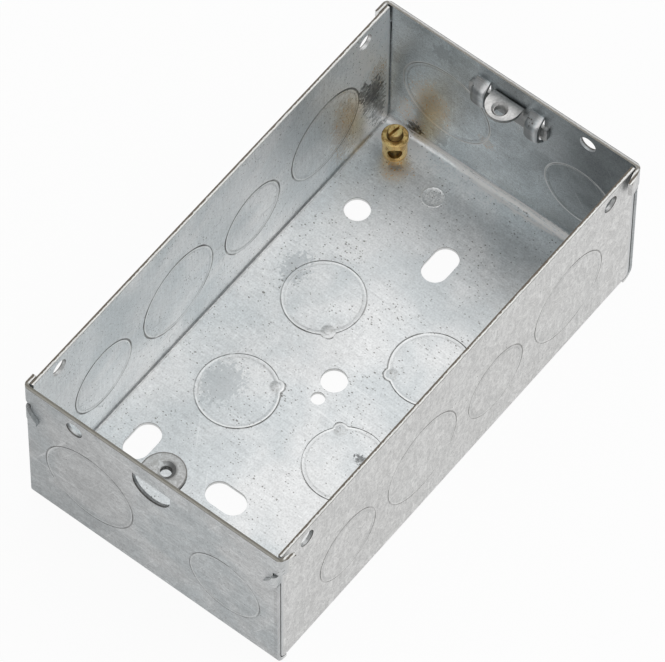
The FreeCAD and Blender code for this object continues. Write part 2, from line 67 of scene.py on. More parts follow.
@dataclass(frozen=True)
class BoxSize:
    """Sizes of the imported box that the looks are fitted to, in millimetres.

    Attributes:
        half_length: Half the length over the sheet.
        half_width: Half the width over the sheet.
        depth: Height of the rim above the back.
        sheet: Thickness of the sheet.
        small: Diameter of a small knock-out.
        large: Diameter of a large one.
        small_rise: Height of the middle of a small knock-out in a wall.
        large_rise: Height of the middle of a large one.
        pitch: Spacing of the knock-outs along a side wall.
        end_large: Place of an end wall's large knock-out across the width.
        end_small: Place of its small one.
        floor_ring: Distance of the floor's knock-outs from its middle, along and across.
        floor_nib: Distance of their nibs from that middle.
        hole_x: Distance of the lugs' tapped holes from the middle.
        terminal: Place of the terminal's axis, along and across.
        bridge_spacing: Distance between the middles of the two bridges.
        thread_pitch: Rise of one turn of a thread.
    """

    half_length: float = 65.5
    half_width: float = 35.5
    depth: float = 47.0
    sheet: float = 1.0
    small: float = 20.0
    large: float = 25.0
    small_rise: float = 20.0
    large_rise: float = 22.0
    pitch: float = 26.9
    end_large: float = 18.0
    end_small: float = -20.5
    floor_ring: tuple[float, float] = (15.9, 15.6)
    floor_nib: tuple[float, float] = (9.35, 9.2)
    hole_x: float = 60.3
    terminal: tuple[float, float] = (57.4, 27.3)
    bridge_spacing: float = 15.3
    thread_pitch: float = 0.6


SIZE = BoxSize()
INNER_END = SIZE.half_length - SIZE.sheet
INNER_SIDE = SIZE.half_width - SIZE.sheet


class Body(Enum):
    """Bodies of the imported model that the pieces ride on."""

    BOX = "box"
    LUG = "lug"
    SCREW = "clamp_screw"


class Slot(Enum):
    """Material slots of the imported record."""

    SHEET = "galvanised_sheet"
    STRIP = "plated_strip"
    SCREW = "screw_brass"


@dataclass(frozen=True)
class Plane:
    """One side of the folded sheet.

    Attributes:
        name: Name of the side.
        axis: Axis that it faces along: 0 for X, 1 for Y and 2 for Z.
        offset: Its place on that axis, in millimetres.
        way: 1 where it faces up the axis and -1 where it faces down.
        nibs: Angle of each knock-out's prising nib in degrees, or None where it has none.
    """

    name: str
    axis: int
    offset: float
    way: int
    nibs: Sequence[float | None] = (None, None)

    def point(self, run: float, rise: float, proud: float) -> Point:
        """Places a point on the side.

        Args:
            run: Place along the side, in millimetres.
            rise: Place up it, or across the floor, in millimetres.
            proud: How far the point stands proud of it, in millimetres.

        Returns:
            The point, in millimetres.
        """
        place = [run, rise]
        place.insert(self.axis, self.offset + self.way * proud)
        return (place[0], place[1], place[2])


class Face(Enum):
    """Sides of the folded sheet that carry knock-outs."""

    FLOOR_INSIDE = Plane("floor_inside", 2, SIZE.sheet, 1)
    LEFT_INSIDE = Plane("left_inside", 1, INNER_SIDE, -1, (None, -133.0, -130.0, -130.0))
    LEFT_OUTSIDE = Plane("left_outside", 1, SIZE.half_width, 1, (None, None, None, None))
    RIGHT_INSIDE = Plane("right_inside", 1, -INNER_SIDE, 1, (None, None, None, None))
    RIGHT_OUTSIDE = Plane("right_outside", 1, -SIZE.half_width, -1, (None, -44.0, None, -149.0))
    NEAR_INSIDE = Plane("near_inside", 0, -INNER_END, 1)
    NEAR_OUTSIDE = Plane("near_outside", 0, -SIZE.half_length, -1, (None, -153.0))
    FAR_INSIDE = Plane("far_inside", 0, INNER_END, -1)
    FAR_OUTSIDE = Plane("far_outside", 0, SIZE.half_length, 1)


# Mesh helpers


def metres(point: Sequence[float]) -> Vector:
    """Turns a point in millimetres into Blender's metres."""
    return Vector([value * MM for value in point])


def circle(sides: int) -> list[tuple[float, float]]:
    """Cosine and sine of each corner of a circle with so many sides."""
    return [(math.cos(2 * math.pi * side / sides), math.sin(2 * math.pi * side / sides)) for side in range(sides)]


def bands(rings: int, sides: int, first: int = 0, closed: bool = False) -> Faces:
    """Joins rings of points that follow one another.

    Args:
        rings: Number of rings.
        sides: Points in each ring.
        first: Number of the first point.
        closed: Whether the last ring joins the first again.

    Returns:
        Corners of each face.
    """
    faces: Faces = []
    for ring in range(rings if closed else rings - 1):
        here, there = first + ring * sides, first + (ring + 1) % rings * sides
        for side in range(sides):
            after = (side + 1) % sides
            faces.append((here + side, here + after, there + after, there + side))
    return faces


def mesh_object(name: str, points: Iterable[Sequence[float]], faces: Iterable[Sequence[int]]) -> bpy.types.Object:
    """Makes an object from points in millimetres and links it to the scene.

    Args:
        name: Name of the piece.
        points: Corners of the mesh, in millimetres.
        faces: Corners of each face, counted from 0.

    Returns:
        The new object, with its faces turned outwards.
    """
    mesh = bpy.data.meshes.new(name)
    mesh.from_pydata([tuple(metres(point)) for point in points], [], [tuple(face) for face in faces])
    work = bmesh.new()
    work.from_mesh(mesh)
    bmesh.ops.recalc_face_normals(work, faces=work.faces)
    work.to_mesh(mesh)
    work.free()
    made = bpy.data.objects.new(name, mesh)
    bpy.context.scene.collection.objects.link(made)
    return made


def smooth_by_angle(target: bpy.types.Object, degrees: float) -> None:
    """Shades a piece smooth, but keeps the edges sharper than an angle.

    Args:
        target: The piece to shade.
        degrees: Largest turn between two faces that is still shaded smooth.
    """
    work = bmesh.new()
    work.from_mesh(target.data)
    limit = math.radians(degrees)
    for each in work.faces:
        each.smooth = True
    for edge in work.edges:
        edge.smooth = len(edge.link_faces) == 2 and edge.calc_face_angle(0.0) < limit
    work.to_mesh(target.data)
    work.free()


def dress(node: bpy.types.Object, material: bpy.types.Material) -> None:
    """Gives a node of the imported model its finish.

    Args:
        node: The node's object.
        material: The finish.
    """
    if not node.material_slots:
        node.data.materials.append(material)
    for slot in node.material_slots:
        slot.link = "OBJECT"
        slot.material = material
    log.info("dressed %s with %s", node.name, material.name)


def finished(made: bpy.types.Object, material: bpy.types.Material, body: Body,
             smooth: float) -> bpy.types.Object:
    """Gives a new piece its shading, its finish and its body.

    Args:
        made: The piece.
        material: Its finish.
        body: Body that it rides on.
        smooth: Largest turn between two faces that is shaded smooth, in degrees.

    Returns:
        The same piece.
    """
    smooth_by_angle(made, smooth)
    made.data.materials.clear()
    made.data.materials.append(material)
    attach(made, body.value)
    return made


# Shader nodes


@dataclass(frozen=True)
class Value:
    """Number that varies over a surface, with the sums that a shader does on it.

    Attributes:
        graph: The shader's nodes.
        socket: Output that gives the number.
    """

    graph: "NodeGraph"
    socket: Socket

    def __add__(self, other: "Feed") -> "Value":
        """Sum of both."""
        return self.graph.math("ADD", self, other)

    def __sub__(self, other: "Feed") -> "Value":
        """This less the other."""
        return self.graph.math("SUBTRACT", self, other)

    def __rsub__(self, other: float) -> "Value":
        """A number less this."""
        return self.graph.math("SUBTRACT", other, self)

    def __mul__(self, other: "Feed") -> "Value":
        """Product of both."""
        return self.graph.math("MULTIPLY", self, other)

    def __abs__(self) -> "Value":
        """This without its sign."""
        return self.graph.math("ABSOLUTE", self)

    __radd__ = __add__
    __rmul__ = __mul__

    def sign(self) -> "Value":
        """1 above zero and -1 below it."""
        return self.graph.math("SIGN", self)

    def fraction(self) -> "Value":
        """This less the whole number below it."""
        return self.graph.math("FRACT", self)

    def folded(self, span: float) -> "Value":
        """Runs up to a span and back again."""
        return self.graph.math("PINGPONG", self, span)

    def most(self, other: "Feed") -> "Value":
        """The larger of both."""
        return self.graph.math("MAXIMUM", self, other)

    def reach(self, other: "Value") -> "Value":
        """Length of the slope whose sides are both."""
        return self.graph.math("SQRT", self * self + other * other)

    def step(self, low: float, high: float, start: "Feed" = 0.0, end: "Feed" = 1.0) -> "Value":
        """Goes smoothly from one level to another.

        Args:
            low: Input at which the change starts.
            high: Input at which it ends.
            start: Level before the change.
            end: Level after it.

        Returns:
            The level.
        """
        made = self.graph.node("ShaderNodeMapRange", interpolation_type="SMOOTHSTEP", clamp=True)
        return self.graph.fed(made, self, low, high, start, end)

    def fall(self, low: float, high: float) -> "Value":
        """Goes smoothly from 1 down to 0 between two inputs."""
        return self.step(low, high, 1.0, 0.0)

    def at(self, low: float, high: float, start: "Feed" = 0.0, end: "Feed" = 1.0) -> "Value":
        """Goes from one level to another between two places in millimetres, for a length in metres."""
        return self.step(low * MM, high * MM, start, end)

    def until(self, low: float, high: float) -> "Value":
        """Goes from 1 down to 0 between two places in millimetres, for a length in metres."""
        return self.at(low, high, 1.0, 0.0)

    def pick(self, off: float, on: float) -> "Value":
        """One level where a mask is 0 and another where it is 1."""
        return self.step(0.0, 1.0, off, on)

    def only(self, mask: "Value") -> "Value":
        """This factor where a mask is 1, and 1 where the mask is 0."""
        return (self - 1.0) * mask + 1.0


Feed = Value | Socket | float


class NodeGraph:
    """Adds nodes to one shader and links them, with plain numbers, colours or values as inputs."""

    def __init__(self, tree: bpy.types.NodeTree) -> None:
        """Starts on an empty node tree."""
        self.tree = tree
        self.tree.nodes.clear()

    def node(self, kind: str, **settings: object) -> bpy.types.Node:
        """Adds a node.

        Args:
            kind: Blender's name of the kind of node.
            **settings: Values of the node's own settings.

        Returns:
            The node.
        """
        made = self.tree.nodes.new(kind)
        for key, value in settings.items():
            setattr(made, key, value)
        return made

    def feed(self, socket: Socket, source: Feed | Colour) -> None:
        """Links an input to an output, or sets its number or colour.

        Args:
            socket: The input.
            source: What it gets.
        """
        if isinstance(source, Value):
            source = source.socket
        if isinstance(source, bpy.types.NodeSocket):
            self.tree.links.new(source, socket)
        elif isinstance(source, tuple) and socket.type == "RGBA":
            socket.default_value = (*source, 1.0)
        else:
            socket.default_value = source

    def fed(self, made: bpy.types.Node, *sources: Feed | Colour) -> Value:
        """Feeds a node's inputs in their order.

        Args:
            made: The node.
            *sources: What its inputs get, from the first on.

        Returns:
            Its first output.
        """
        for socket, source in zip(made.inputs, sources):
            self.feed(socket, source)
        return Value(self, made.outputs[0])

    def named(self, kind: str, **sources: Feed | Colour) -> bpy.types.Node:
        """Adds a node and feeds some of its inputs.

        Args:
            kind: Blender's name of the kind of node.
            **sources: What each input gets, by the input's name with _ for a space.

        Returns:
            The node.
        """
        made = self.node(kind)
        for name, source in sources.items():
            self.feed(made.inputs[name.replace("_", " ")], source)
        return made

    def math(self, operation: str, *sources: Feed) -> Value:
        """Adds a math node for an operation, such as MULTIPLY, on one to three inputs."""
        return self.fed(self.node("ShaderNodeMath", operation=operation), *sources)

    def combine(self, x: Feed, y: Feed, z: Feed) -> Value:
        """Makes a vector of three inputs."""
        return self.fed(self.node("ShaderNodeCombineXYZ"), x, y, z)

    def split(self, vector: Socket) -> tuple[Value, Value, Value]:
        """Takes a vector apart.

        Args:
            vector: Output that gives the vector.

        Returns:
            Its three numbers.
        """
        made = self.node("ShaderNodeSeparateXYZ")
        self.feed(made.inputs[0], vector)
        return (Value(self, made.outputs[0]), Value(self, made.outputs[1]), Value(self, made.outputs[2]))

    def noise(self, vector: Feed, scale: float, detail: float = 3.0, rough: float = 0.5, warp: float = 0.0) -> Value:
        """Adds cloud-like noise.

        Args:
            vector: Place in metres.
            scale: Waves in a metre.
            detail: Number of finer layers.
            rough: Strength of the finer layers.
            warp: How much the noise bends itself.

        Returns:
            Noise from 0 to 1, mostly near the middle.
        """
        made = self.named("ShaderNodeTexNoise", Vector=vector, Scale=scale, Detail=detail, Roughness=rough,
                          Distortion=warp)
        return Value(self, made.outputs[0])

    def cells(self, vector: Feed, scale: float) -> tuple[Value, Value]:
        """Adds a cell pattern.

        Args:
            vector: Place in metres.
            scale: Cells in a metre.

        Returns:
            Distance from the cell's middle, and a chance number for each cell.
        """
        made = self.named("ShaderNodeTexVoronoi", Vector=vector, Scale=scale)
        luck = self.fed(self.node("ShaderNodeSeparateColor"), made.outputs["Color"])
        return Value(self, made.outputs["Distance"]), luck

    def blend(self, share: Feed, first: Feed | Colour, second: Feed | Colour) -> Socket:
        """Mixes two colours.

        Args:
            share: Share of the second, from 0 to 1.
            first: First colour.
            second: Second colour.

        Returns:
            The mixed colour.
        """
        made = self.node("ShaderNodeMix", data_type="RGBA", blend_type="MIX", clamp_factor=True)
        ends = [socket for socket in made.inputs if socket.type == "RGBA"]
        for socket, source in zip((made.inputs[0], *ends), (share, first, second)):
            self.feed(socket, source)
        return next(socket for socket in made.outputs if socket.type == "RGBA")

    def tone(self, colour: Socket, level: Feed) -> Socket:
        """Makes a colour lighter or darker.

        Args:
            colour: The colour.
            level: The factor.

        Returns:
            The new colour.
        """
        made = self.node("ShaderNodeVectorMath", operation="SCALE")
        self.feed(made.inputs["Vector"], colour)
        self.feed(made.inputs["Scale"], level)
        return made.outputs[0]

    def bump(self, height: Value) -> Socket:
        """Adds relief of a height in millimetres, and gives the bent normal."""
        return self.named("ShaderNodeBump", Strength=1.0, Distance=MM, Height=height).outputs[0]


class Paint:
    """Colour that is built up in layers, one over the other."""

    def __init__(self, graph: NodeGraph, colour: Socket) -> None:
        """Starts with a ground colour."""
        self.graph = graph
        self.colour = colour

    def cover(self, share: Feed, colour: Socket | Colour) -> None:
        """Lays a colour over a share of what is there."""
        self.colour = self.graph.blend(share, self.colour, colour)

    def shade(self, level: Feed) -> None:
        """Makes what is there lighter or darker by a factor."""
        self.colour = self.graph.tone(self.colour, level)


@dataclass(frozen=True)
class Coat:
    """Inputs of a metal surface that change over it.

    Attributes:
        colour: Reflected colour.
        roughness: Roughness of the reflection.
        relief: Height of the surface, in millimetres.
    """

    colour: Socket
    roughness: Value
    relief: Value


def metal_material(name: str, paint: Callable[[NodeGraph], Coat]) -> bpy.types.Material:
    """Makes a metal material.

    Args:
        name: Name of the finish.
        paint: Adds the nodes that give the surface its colour, roughness and relief.

    Returns:
        The material.
    """
    material = bpy.data.materials.new(name)
    material.use_nodes = True
    graph = NodeGraph(material.node_tree)
    coat = paint(graph)
    shader = graph.named("ShaderNodeBsdfPrincipled", Metallic=1.0, Base_Color=coat.colour,
                         Roughness=coat.roughness, Normal=graph.bump(coat.relief))
    graph.named("ShaderNodeOutputMaterial", Surface=shader.outputs[0])
    return material


# Finish of the sheet


@dataclass(frozen=True)
class Mark:
    """Oval mark on the inside of the sheet, placed on the flat blank.

    Attributes:
        run: Place of its middle along the length of the blank, in millimetres.
        across: Place of its middle across the blank, in millimetres.
        run_reach: How far it reaches along the blank, in millimetres.
        across_reach: How far it reaches across the blank, in millimetres.
    """

    run: float
    across: float
    run_reach: float
    across_reach: float

    def cover(self, graph: NodeGraph, place: Value, fray: Value) -> Value:
        """Finds where the mark is.

        Args:
            graph: The shader's nodes.
            place: Place on the flat blank, with the outside of the sheet set apart.
            fray: Uneven pattern from about -1 to 1, which frays the mark's edge.

        Returns:
            How strong the mark is, from 0 to 1.
        """
        moved = graph.node("ShaderNodeVectorMath", operation="MULTIPLY_ADD")
        graph.feed(moved.inputs[0], place)
        moved.inputs[1].default_value = (PER_METRE / self.run_reach, PER_METRE / self.across_reach, MARK_LAYER_SCALE)
        moved.inputs[2].default_value = (-self.run / self.run_reach, -self.across / self.across_reach, 0.0)
        length = graph.node("ShaderNodeVectorMath", operation="LENGTH")
        graph.feed(length.inputs[0], moved.outputs[0])
        return (Value(graph, length.outputs["Value"]) + fray).fall(0.68, 0.96)


@dataclass(frozen=True)
class GalvanisedFinish:
    """Zinc-coated sheet: brushed along the width of the blank, clouded, spangled, specked and scratched.

    Attributes:
        pale: Colour of clean zinc.
        blue: Colour of zinc in the shaded clouds.
        far_wall_shade: Colour that darkens the inside of the far wall, as painted shade.
        warm: Colour of the outside of the side walls.
        speck: Colour of the small pits and dirt specks.
        oxide: Colour of the brown bloom on cut edges. It is also used for the side walls' brown rim line, which is
            partly that bloom and partly painted shade.
        rust_and_reflection: Colour of the brown patches: real staining and painted reflections of the brass terminal.
        rust_and_reflection_far: Colour of those brown patches on the far wall.
        rust_and_reflection_dot: Colour of the orange dots in those brown patches, mostly painted glints of the brass.
        dark_blue: Colour of the dark bluish patches.
        shadow_patch: Colour of the painted shadow patches.
        shade_spot: Colour of the small patches of painted shade.
        rub_and_highlight_colour: Colour of the patches made bright by rubbing, and of the painted highlights.
        scratch: Colour of the scratches.
        hair: Colour of the fine curls on the side walls.
        inner_band: Colour of the darker band inside the sheared line of a knock-out.
        sheared: Colour of the sheared line.
        glint: Colour of the painted highlight beside it.
        lap: Colour of the faint line inside the band.
        coin_shade: Colour of the painted shade in the shallow dimple that the punch leaves beside a nib.
        strip: Colour of the pale strip in the far fold, a painted highlight.
        fold: Colour of the painted shade in the crease along the inside of the long folds.
        rim_edge_shade: Colour of the painted shade along the rim's outer border.
        cut_edge: Colour of the cut edges of the walls.
        hole_edge_reflection: Colour of the edges of the floor's holes, a painted reflection of the white background.
        hole_seam: Colour of the line at the top of those edges.
        lug_shade: Colour of the fixed lug.
        lug_border: Colour of that lug's border and edges.
        rim_highlights: Colours of the painted highlight along the rim: of the side walls, near and far wall.
        brown_rims_and_shade: Colours of the brown line along the rim: of the near and far wall. It is partly the
            sheared edge's brown and partly painted shade.
        dirt: Patches of crowded specks.
        dark_blue_patches: Dark bluish patches.
        dulled: Patches a little darker than the zinc round them.
        stains_and_reflections: Brown patches: mostly painted reflections of the brass terminal on the far wall, the
            left wall and the floor beside it, and some real staining.
        rubbed_and_highlights: Patches made bright: the press mark, as from rubbing, and painted highlights on the left
            and far walls.
        shadow_patches: Painted shadow: grey patches on the left wall beside the far corner.
        shade_spots: Small dark patches of painted shade: beside the terminal on the far wall and the left wall, and
            one on the floor.
    """

    pale: Colour = (0.694, 0.703, 0.705)
    blue: Colour = (0.574, 0.603, 0.614)
    far_wall_shade: Colour = (0.560, 0.612, 0.634)
    warm: Colour = (0.760, 0.757, 0.748)
    speck: Colour = (0.12, 0.112, 0.10)
    oxide: Colour = (0.17, 0.145, 0.115)
    rust_and_reflection: Colour = (0.60, 0.565, 0.525)
    rust_and_reflection_far: Colour = (0.77, 0.735, 0.69)
    rust_and_reflection_dot: Colour = (0.70, 0.44, 0.13)
    dark_blue: Colour = (0.40, 0.43, 0.445)
    shadow_patch: Colour = (0.13, 0.136, 0.14)
    shade_spot: Colour = (0.14, 0.145, 0.147)
    rub_and_highlight_colour: Colour = (0.95, 0.95, 0.94)
    scratch: Colour = (0.90, 0.905, 0.905)
    hair: Colour = (0.30, 0.31, 0.315)
    inner_band: Colour = (0.36, 0.37, 0.37)
    sheared: Colour = (0.15, 0.147, 0.14)
    glint: Colour = (0.97, 0.97, 0.96)
    lap: Colour = (0.26, 0.26, 0.255)
    coin_shade: Colour = (0.33, 0.33, 0.32)
    strip: Colour = (1.0, 0.995, 0.98)
    fold: Colour = (0.20, 0.20, 0.195)
    rim_edge_shade: Colour = (0.24, 0.235, 0.225)
    cut_edge: Colour = (0.13, 0.12, 0.105)
    hole_edge_reflection: Colour = (0.86, 0.86, 0.85)
    hole_seam: Colour = (0.22, 0.22, 0.215)
    lug_shade: Colour = (0.28, 0.28, 0.27)
    lug_border: Colour = (0.13, 0.125, 0.115)
    rim_highlights: Sequence[Colour] = ((0.86, 0.86, 0.84), (0.37, 0.36, 0.325), (0.62, 0.62, 0.61))
    brown_rims_and_shade: Sequence[Colour] = ((0.235, 0.222, 0.19), (0.30, 0.285, 0.255))
    dirt: Sequence[Mark] = (Mark(28.8, 17.8, 6.0, 4.0), Mark(19.5, 1.4, 5.5, 3.6), Mark(16.5, 24.4, 4.6, 2.6),
                            Mark(27.7, 30.6, 6.5, 2.6), Mark(7.0, 28.2, 6.5, 1.7))
    dark_blue_patches: Sequence[Mark] = (Mark(-16.6, 19.5, 6.5, 5.0), Mark(18.5, 26.0, 5.0, 3.4),
                               Mark(57.5, 50.5, 3.6, 8.5), Mark(105.5, 19.5, 3.0, 2.8),
                               Mark(71.0, 19.5, 3.6, 2.6))
    dulled: Sequence[Mark] = (Mark(5.0, 8.0, 11.0, 9.0),)
    stains_and_reflections: Sequence[Mark] = (Mark(47.4, 51.6, 5.0, 17.0), Mark(60.0, 57.5, 4.2, 7.0),
                              Mark(81.5, 23.4, 9.0, 6.8), Mark(72.0, 29.6, 6.5, 2.8),
                              Mark(69.0, 26.8, 4.2, 3.4), Mark(54.0, 24.0, 4.6, 4.0),
                              Mark(98.6, 8.6, 3.0, 1.6), Mark(80.6, 6.2, 2.4, 2.6))
    rubbed_and_highlights: Sequence[Mark] = (Mark(53.0, 12.6, 3.6, 3.6), Mark(54.8, 50.3, 2.0, 1.6), Mark(57.1, 45.7, 1.8, 1.2),
                            Mark(97.8, -3.2, 2.6, 2.4), Mark(53.6, 36.5, 2.2, 1.4))
    shadow_patches: Sequence[Mark] = (Mark(60.4, 43.6, 2.9, 6.2), Mark(56.2, 50.4, 2.8, 4.8), Mark(59.8, 49.5, 3.0, 4.5))
    shade_spots: Sequence[Mark] = (Mark(67.2, 26.9, 3.0, 2.2), Mark(57.9, 54.0, 3.6, 5.4),
                                Mark(54.6, 56.6, 2.4, 4.8), Mark(-12.6, -18.4, 1.4, 2.4))

    def material(self) -> bpy.types.Material:
        """Makes the finish's material."""
        return metal_material("galvanised_sheet", lambda graph: SheetPainter(graph, self).coat())


@dataclass(frozen=True)
class Zones:
    """Where a point of the sheet lies, with a mask from 0 to 1 for each kind of surface.

    Attributes:
        x: Place along the folded box, in metres.
        y: Place across it.
        z: Height above the back.
        u: Run along the length of the flat blank, in metres.
        v: Run along its width.
        end: Mask of the end walls.
        side: Mask of the side walls.
        outside: Mask of the outside of the sheet.
        hole: Mask of the edges of the floor's holes.
        cut: Mask of the cut edges of the walls.
        rim: Mask of the rim.
        rim_part: Part of the way over the rim, from 0 to 1.
        near: Mask of the near end.
        far: Mask of the far end.
        lug: Mask of the fixed lug.
        lug_edge: Mask of that lug's edges.
        inside: Mask of the inside of the sheet.
        layer: Offset that sets the outside apart in the patterns.
        place: Place on the flat blank, as a vector.
        on_far: Mask of the inside of the far wall.
        on_left: Mask of the inside of the left wall.
        flat: Mask of the floor.
    """

    x: Value
    y: Value
    z: Value
    u: Value
    v: Value
    end: Value
    side: Value
    outside: Value
    hole: Value
    cut: Value
    rim: Value
    rim_part: Value
    near: Value
    far: Value
    lug: Value
    lug_edge: Value
    inside: Value
    layer: Value
    place: Value
    on_far: Value
    on_left: Value
    flat: Value


class SheetPainter(Paint):
    """Paints the galvanised sheet, from the bare zinc to its marks, knock-outs and edges, with painted light and shade
    among them.
    """

    def __init__(self, graph: NodeGraph, finish: GalvanisedFinish) -> None:
        """Lays out the patterns that the layers share.

        Args:
            graph: The shader's nodes.
            finish: Colours and marks of the sheet.
        """
        self.graph = graph
        self.finish = finish
        self.zones = zones = self.unfold()
        self.clouds = graph.noise(zones.place, 48.0, 2.0, 0.6, 0.5)
        self.grain = self.drawn(2300.0, 70.0, 1.0, 0.65)
        self.flecks = self.drawn(1250.0, 360.0, 1.0, 0.7, 0.4)
        self.mottle = graph.noise(zones.place, 900.0, 2.0, 0.8, 0.4)
        self.bloom = graph.noise(zones.place, 70.0, 3.0, 0.75)
        self.grit = graph.noise(zones.place, 2300.0, 0.0)
        self.patches = self.drawn(420.0, 240.0, 2.0, 0.75, 1.4)
        self.grains = (self.grit + self.mottle).step(0.90, 1.14, 0.15, 1.0)
        self.fray = self.mottle * 2.4 + self.bloom * 1.5 + -1.95
        super().__init__(graph, graph.blend(self.clouds.step(0.36, 0.66), finish.pale, finish.blue))

    def coat(self) -> Coat:
        """Lays all the layers.

        Returns:
            The surface's colour, roughness and relief.
        """
        zones = self.zones
        self.zinc()
        self.marks()
        self.knockouts()
        rubbed_and_highlights, fold_highlights = self.bend()
        self.edges()
        roughness = (0.23 + self.clouds * 0.06 + self.mottle * 0.14 + self.flecks * 0.10 + zones.outside * 0.12
                     + zones.rim.most(zones.cut) * 0.22 + rubbed_and_highlights * 0.20 + zones.lug * 0.10 + fold_highlights * 0.10)
        swell = self.graph.noise(zones.place, 30.0, 1.0, 0.4)
        return Coat(self.colour, roughness, swell * 0.055 + self.grain * 0.0016 + self.mottle * 0.0052)

    def unfold(self) -> Zones:
        """Unfolds the box, so that grain and clouds run over its folds as on the flat blank.

        Returns:
            Where a point of the surface lies.
        """
        texture = self.graph.node("ShaderNodeTexCoord").outputs
        x, y, z = self.graph.split(texture["Object"])
        turned_x, turned_y, turned_z = self.graph.split(texture["Normal"])
        far_x, far_y = abs(x), abs(y)
        half_length, half_width, depth, sheet = SIZE.half_length, SIZE.half_width, SIZE.depth, SIZE.sheet

        end = far_x.at(half_length - 2.4, half_length - 1.2)
        side = far_y.at(half_width - 1.8, half_width - 1.2) * (1.0 - end)
        u = x.sign() * z * end + x
        v = y.sign() * z * side + y
        outward = (x.sign() * turned_x * end + y.sign() * turned_y * side
                   + turned_z * -1.0 * (1.0 - end) * (1.0 - side))
        outside = outward.step(-0.2, 0.2)
        inside = 1.0 - outside
        layer = outside * OUTSIDE_LAYER

        sloped = 1.0 - abs(turned_z).step(0.3, 0.6)
        middle = far_x.until(60.0, 61.5)
        hole = z.until(sheet - 0.03, sheet + 0.01) * sloped * middle * far_y.until(32.5, 33.5)
        rim = z.at(depth - 0.15, depth - 0.05) * turned_z.step(0.5, 0.9)
        wall = z.at(4.0, 5.0) * (1.0 - rim)
        end_cut = (self.within(far_x, half_length) * far_x.at(65.0, 65.2, 0.12, 1.0) * far_y.until(34.0, 34.3)
                   * abs(turned_x).fall(0.3, 0.6) * wall)
        turned_down = turned_z.step(-0.1, 0.5, 1.0, 0.10).most(far_y.at(35.2, 35.4))
        side_cut = (self.within(far_y, half_width) * middle * turned_down * abs(turned_y).fall(0.3, 0.6) * wall)
        seam = (far_x.at(64.0, 64.3) * far_x.at(64.9, 65.1, 1.0, 0.15) * y.until(-34.55, -34.4)
                * y.at(-35.5, -35.35) * z.until(35.5, 36.0))
        lug = x.at(-64.0, -63.6) * x.until(-56.0, -55.0) * z.at(39.0, 40.0) * far_y.until(5.6, 6.0)
        over_side = ((y - 0.5 * MM) * PER_METRE).fraction()
        over_end = (half_length * MM - far_x) * PER_METRE
        on_end_rim = far_x.at(half_length - 1.05, half_length - 0.98)
        far = x.at(63.8, 64.4)
        return Zones(
            x, y, z, u, v, end, side, outside, hole, cut=end_cut.most(side_cut).most(seam), rim=rim,
            rim_part=(over_end - over_side) * on_end_rim + over_side, near=x.until(-64.4, -63.8), far=far,
            lug=lug, lug_edge=lug * sloped, inside=inside, layer=layer, place=self.graph.combine(u, v, layer),
            on_far=far * inside, on_left=side * inside * y.at(0.0, 1.0), flat=1.0 - side.most(end),
        )

    def within(self, far: Value, half: float) -> Value:
        """Finds where a point lies in the thickness of an upright wall.

        Args:
            far: Distance from the middle of the box, in metres.
            half: Distance of the wall's outer face, in millimetres.

        Returns:
            1 in the wall and 0 away from it.
        """
        return far.at(half - 1.02, half - 0.98) * far.until(half + 0.01, half + 0.03)

    def drawn(self, along: float, across: float, detail: float, rough: float, warp: float = 0.0) -> Value:
        """Adds noise that is drawn out over the flat blank.

        Args:
            along: Waves in a metre along the length of the blank.
            across: Waves in a metre along its width.
            detail: Number of finer layers.
            rough: Strength of the finer layers.
            warp: How much the noise bends itself.

        Returns:
            Noise from 0 to 1.
        """
        zones = self.zones
        return self.graph.noise(self.graph.combine(zones.u * along, zones.v * across, zones.layer), 1.0, detail,
                                rough, warp)

    def zinc(self) -> None:
        """Lays the bare zinc, with its grain, spangle and clouds, and the painted light and shade over it."""
        zones = self.zones
        # Painted shade: the inside of the far wall is made darker and bluish.
        self.cover(zones.on_far * 0.7, self.finish.far_wall_shade)
        self.cover(zones.side * zones.outside * 0.9, self.finish.warm)
        # The zinc's level; its last term darkens the far wall's inside a little more, as painted shade.
        level = (0.165 + self.clouds * 0.10 + self.grain * zones.outside.pick(0.22, 0.12) + self.flecks * 0.24
                 + self.mottle * 0.42 + self.grit * zones.on_far.pick(0.32, 0.52) + self.bloom * 0.12
                 + self.patches * 0.20 + self.patches.step(0.42, 0.64, -0.035, 0.06) * zones.outside
                 + zones.outside * 0.02 + zones.on_far * -0.045)
        # Painted light and shade, place by place, scale the zinc's level.
        self.shade(level * self.painted_light_and_shade())
        # Painted shade: darker blotches over the inside of the far wall.
        clouded = (self.clouds + self.bloom * 0.7).step(0.80, 0.96, 1.06, 0.86)
        self.shade(clouded.only(zones.on_far))

    def painted_light_and_shade(self) -> Value:
        """Paints light and shade onto the zinc place by place. The far wall's inside gets painted shade, darker
        towards its right end and lighter low down. The left wall's inside gets painted light, strongest towards the
        far end. The near wall's outside gets painted shade towards its left. The floor gets a painted pool of light in
        the far left corner round the terminal. Each bridge gets a painted highlight at its right end and painted shade
        over the rest. The fixed lug's dished hole gets a lit side and a shaded side.

        Returns:
            Factor for the zinc's level.
        """
        zones = self.zones
        x, y, z = zones.x, zones.y, zones.z
        far_y = abs(y)
        bridged = (x.at(60.0, 61.0) * x.until(64.3, 64.5) * far_y.at(5.5, 5.7) * far_y.until(9.6, 9.8)
                   * z.at(31.0, 32.0))
        along_bridge = ((y + 9.5 * MM) * (PER_METRE / SIZE.bridge_spacing)).fraction()
        from_hole = x + SIZE.hole_x * MM
        dished = from_hole.reach(y).until(2.4, 3.0) * z.at(38.5, 39.0)
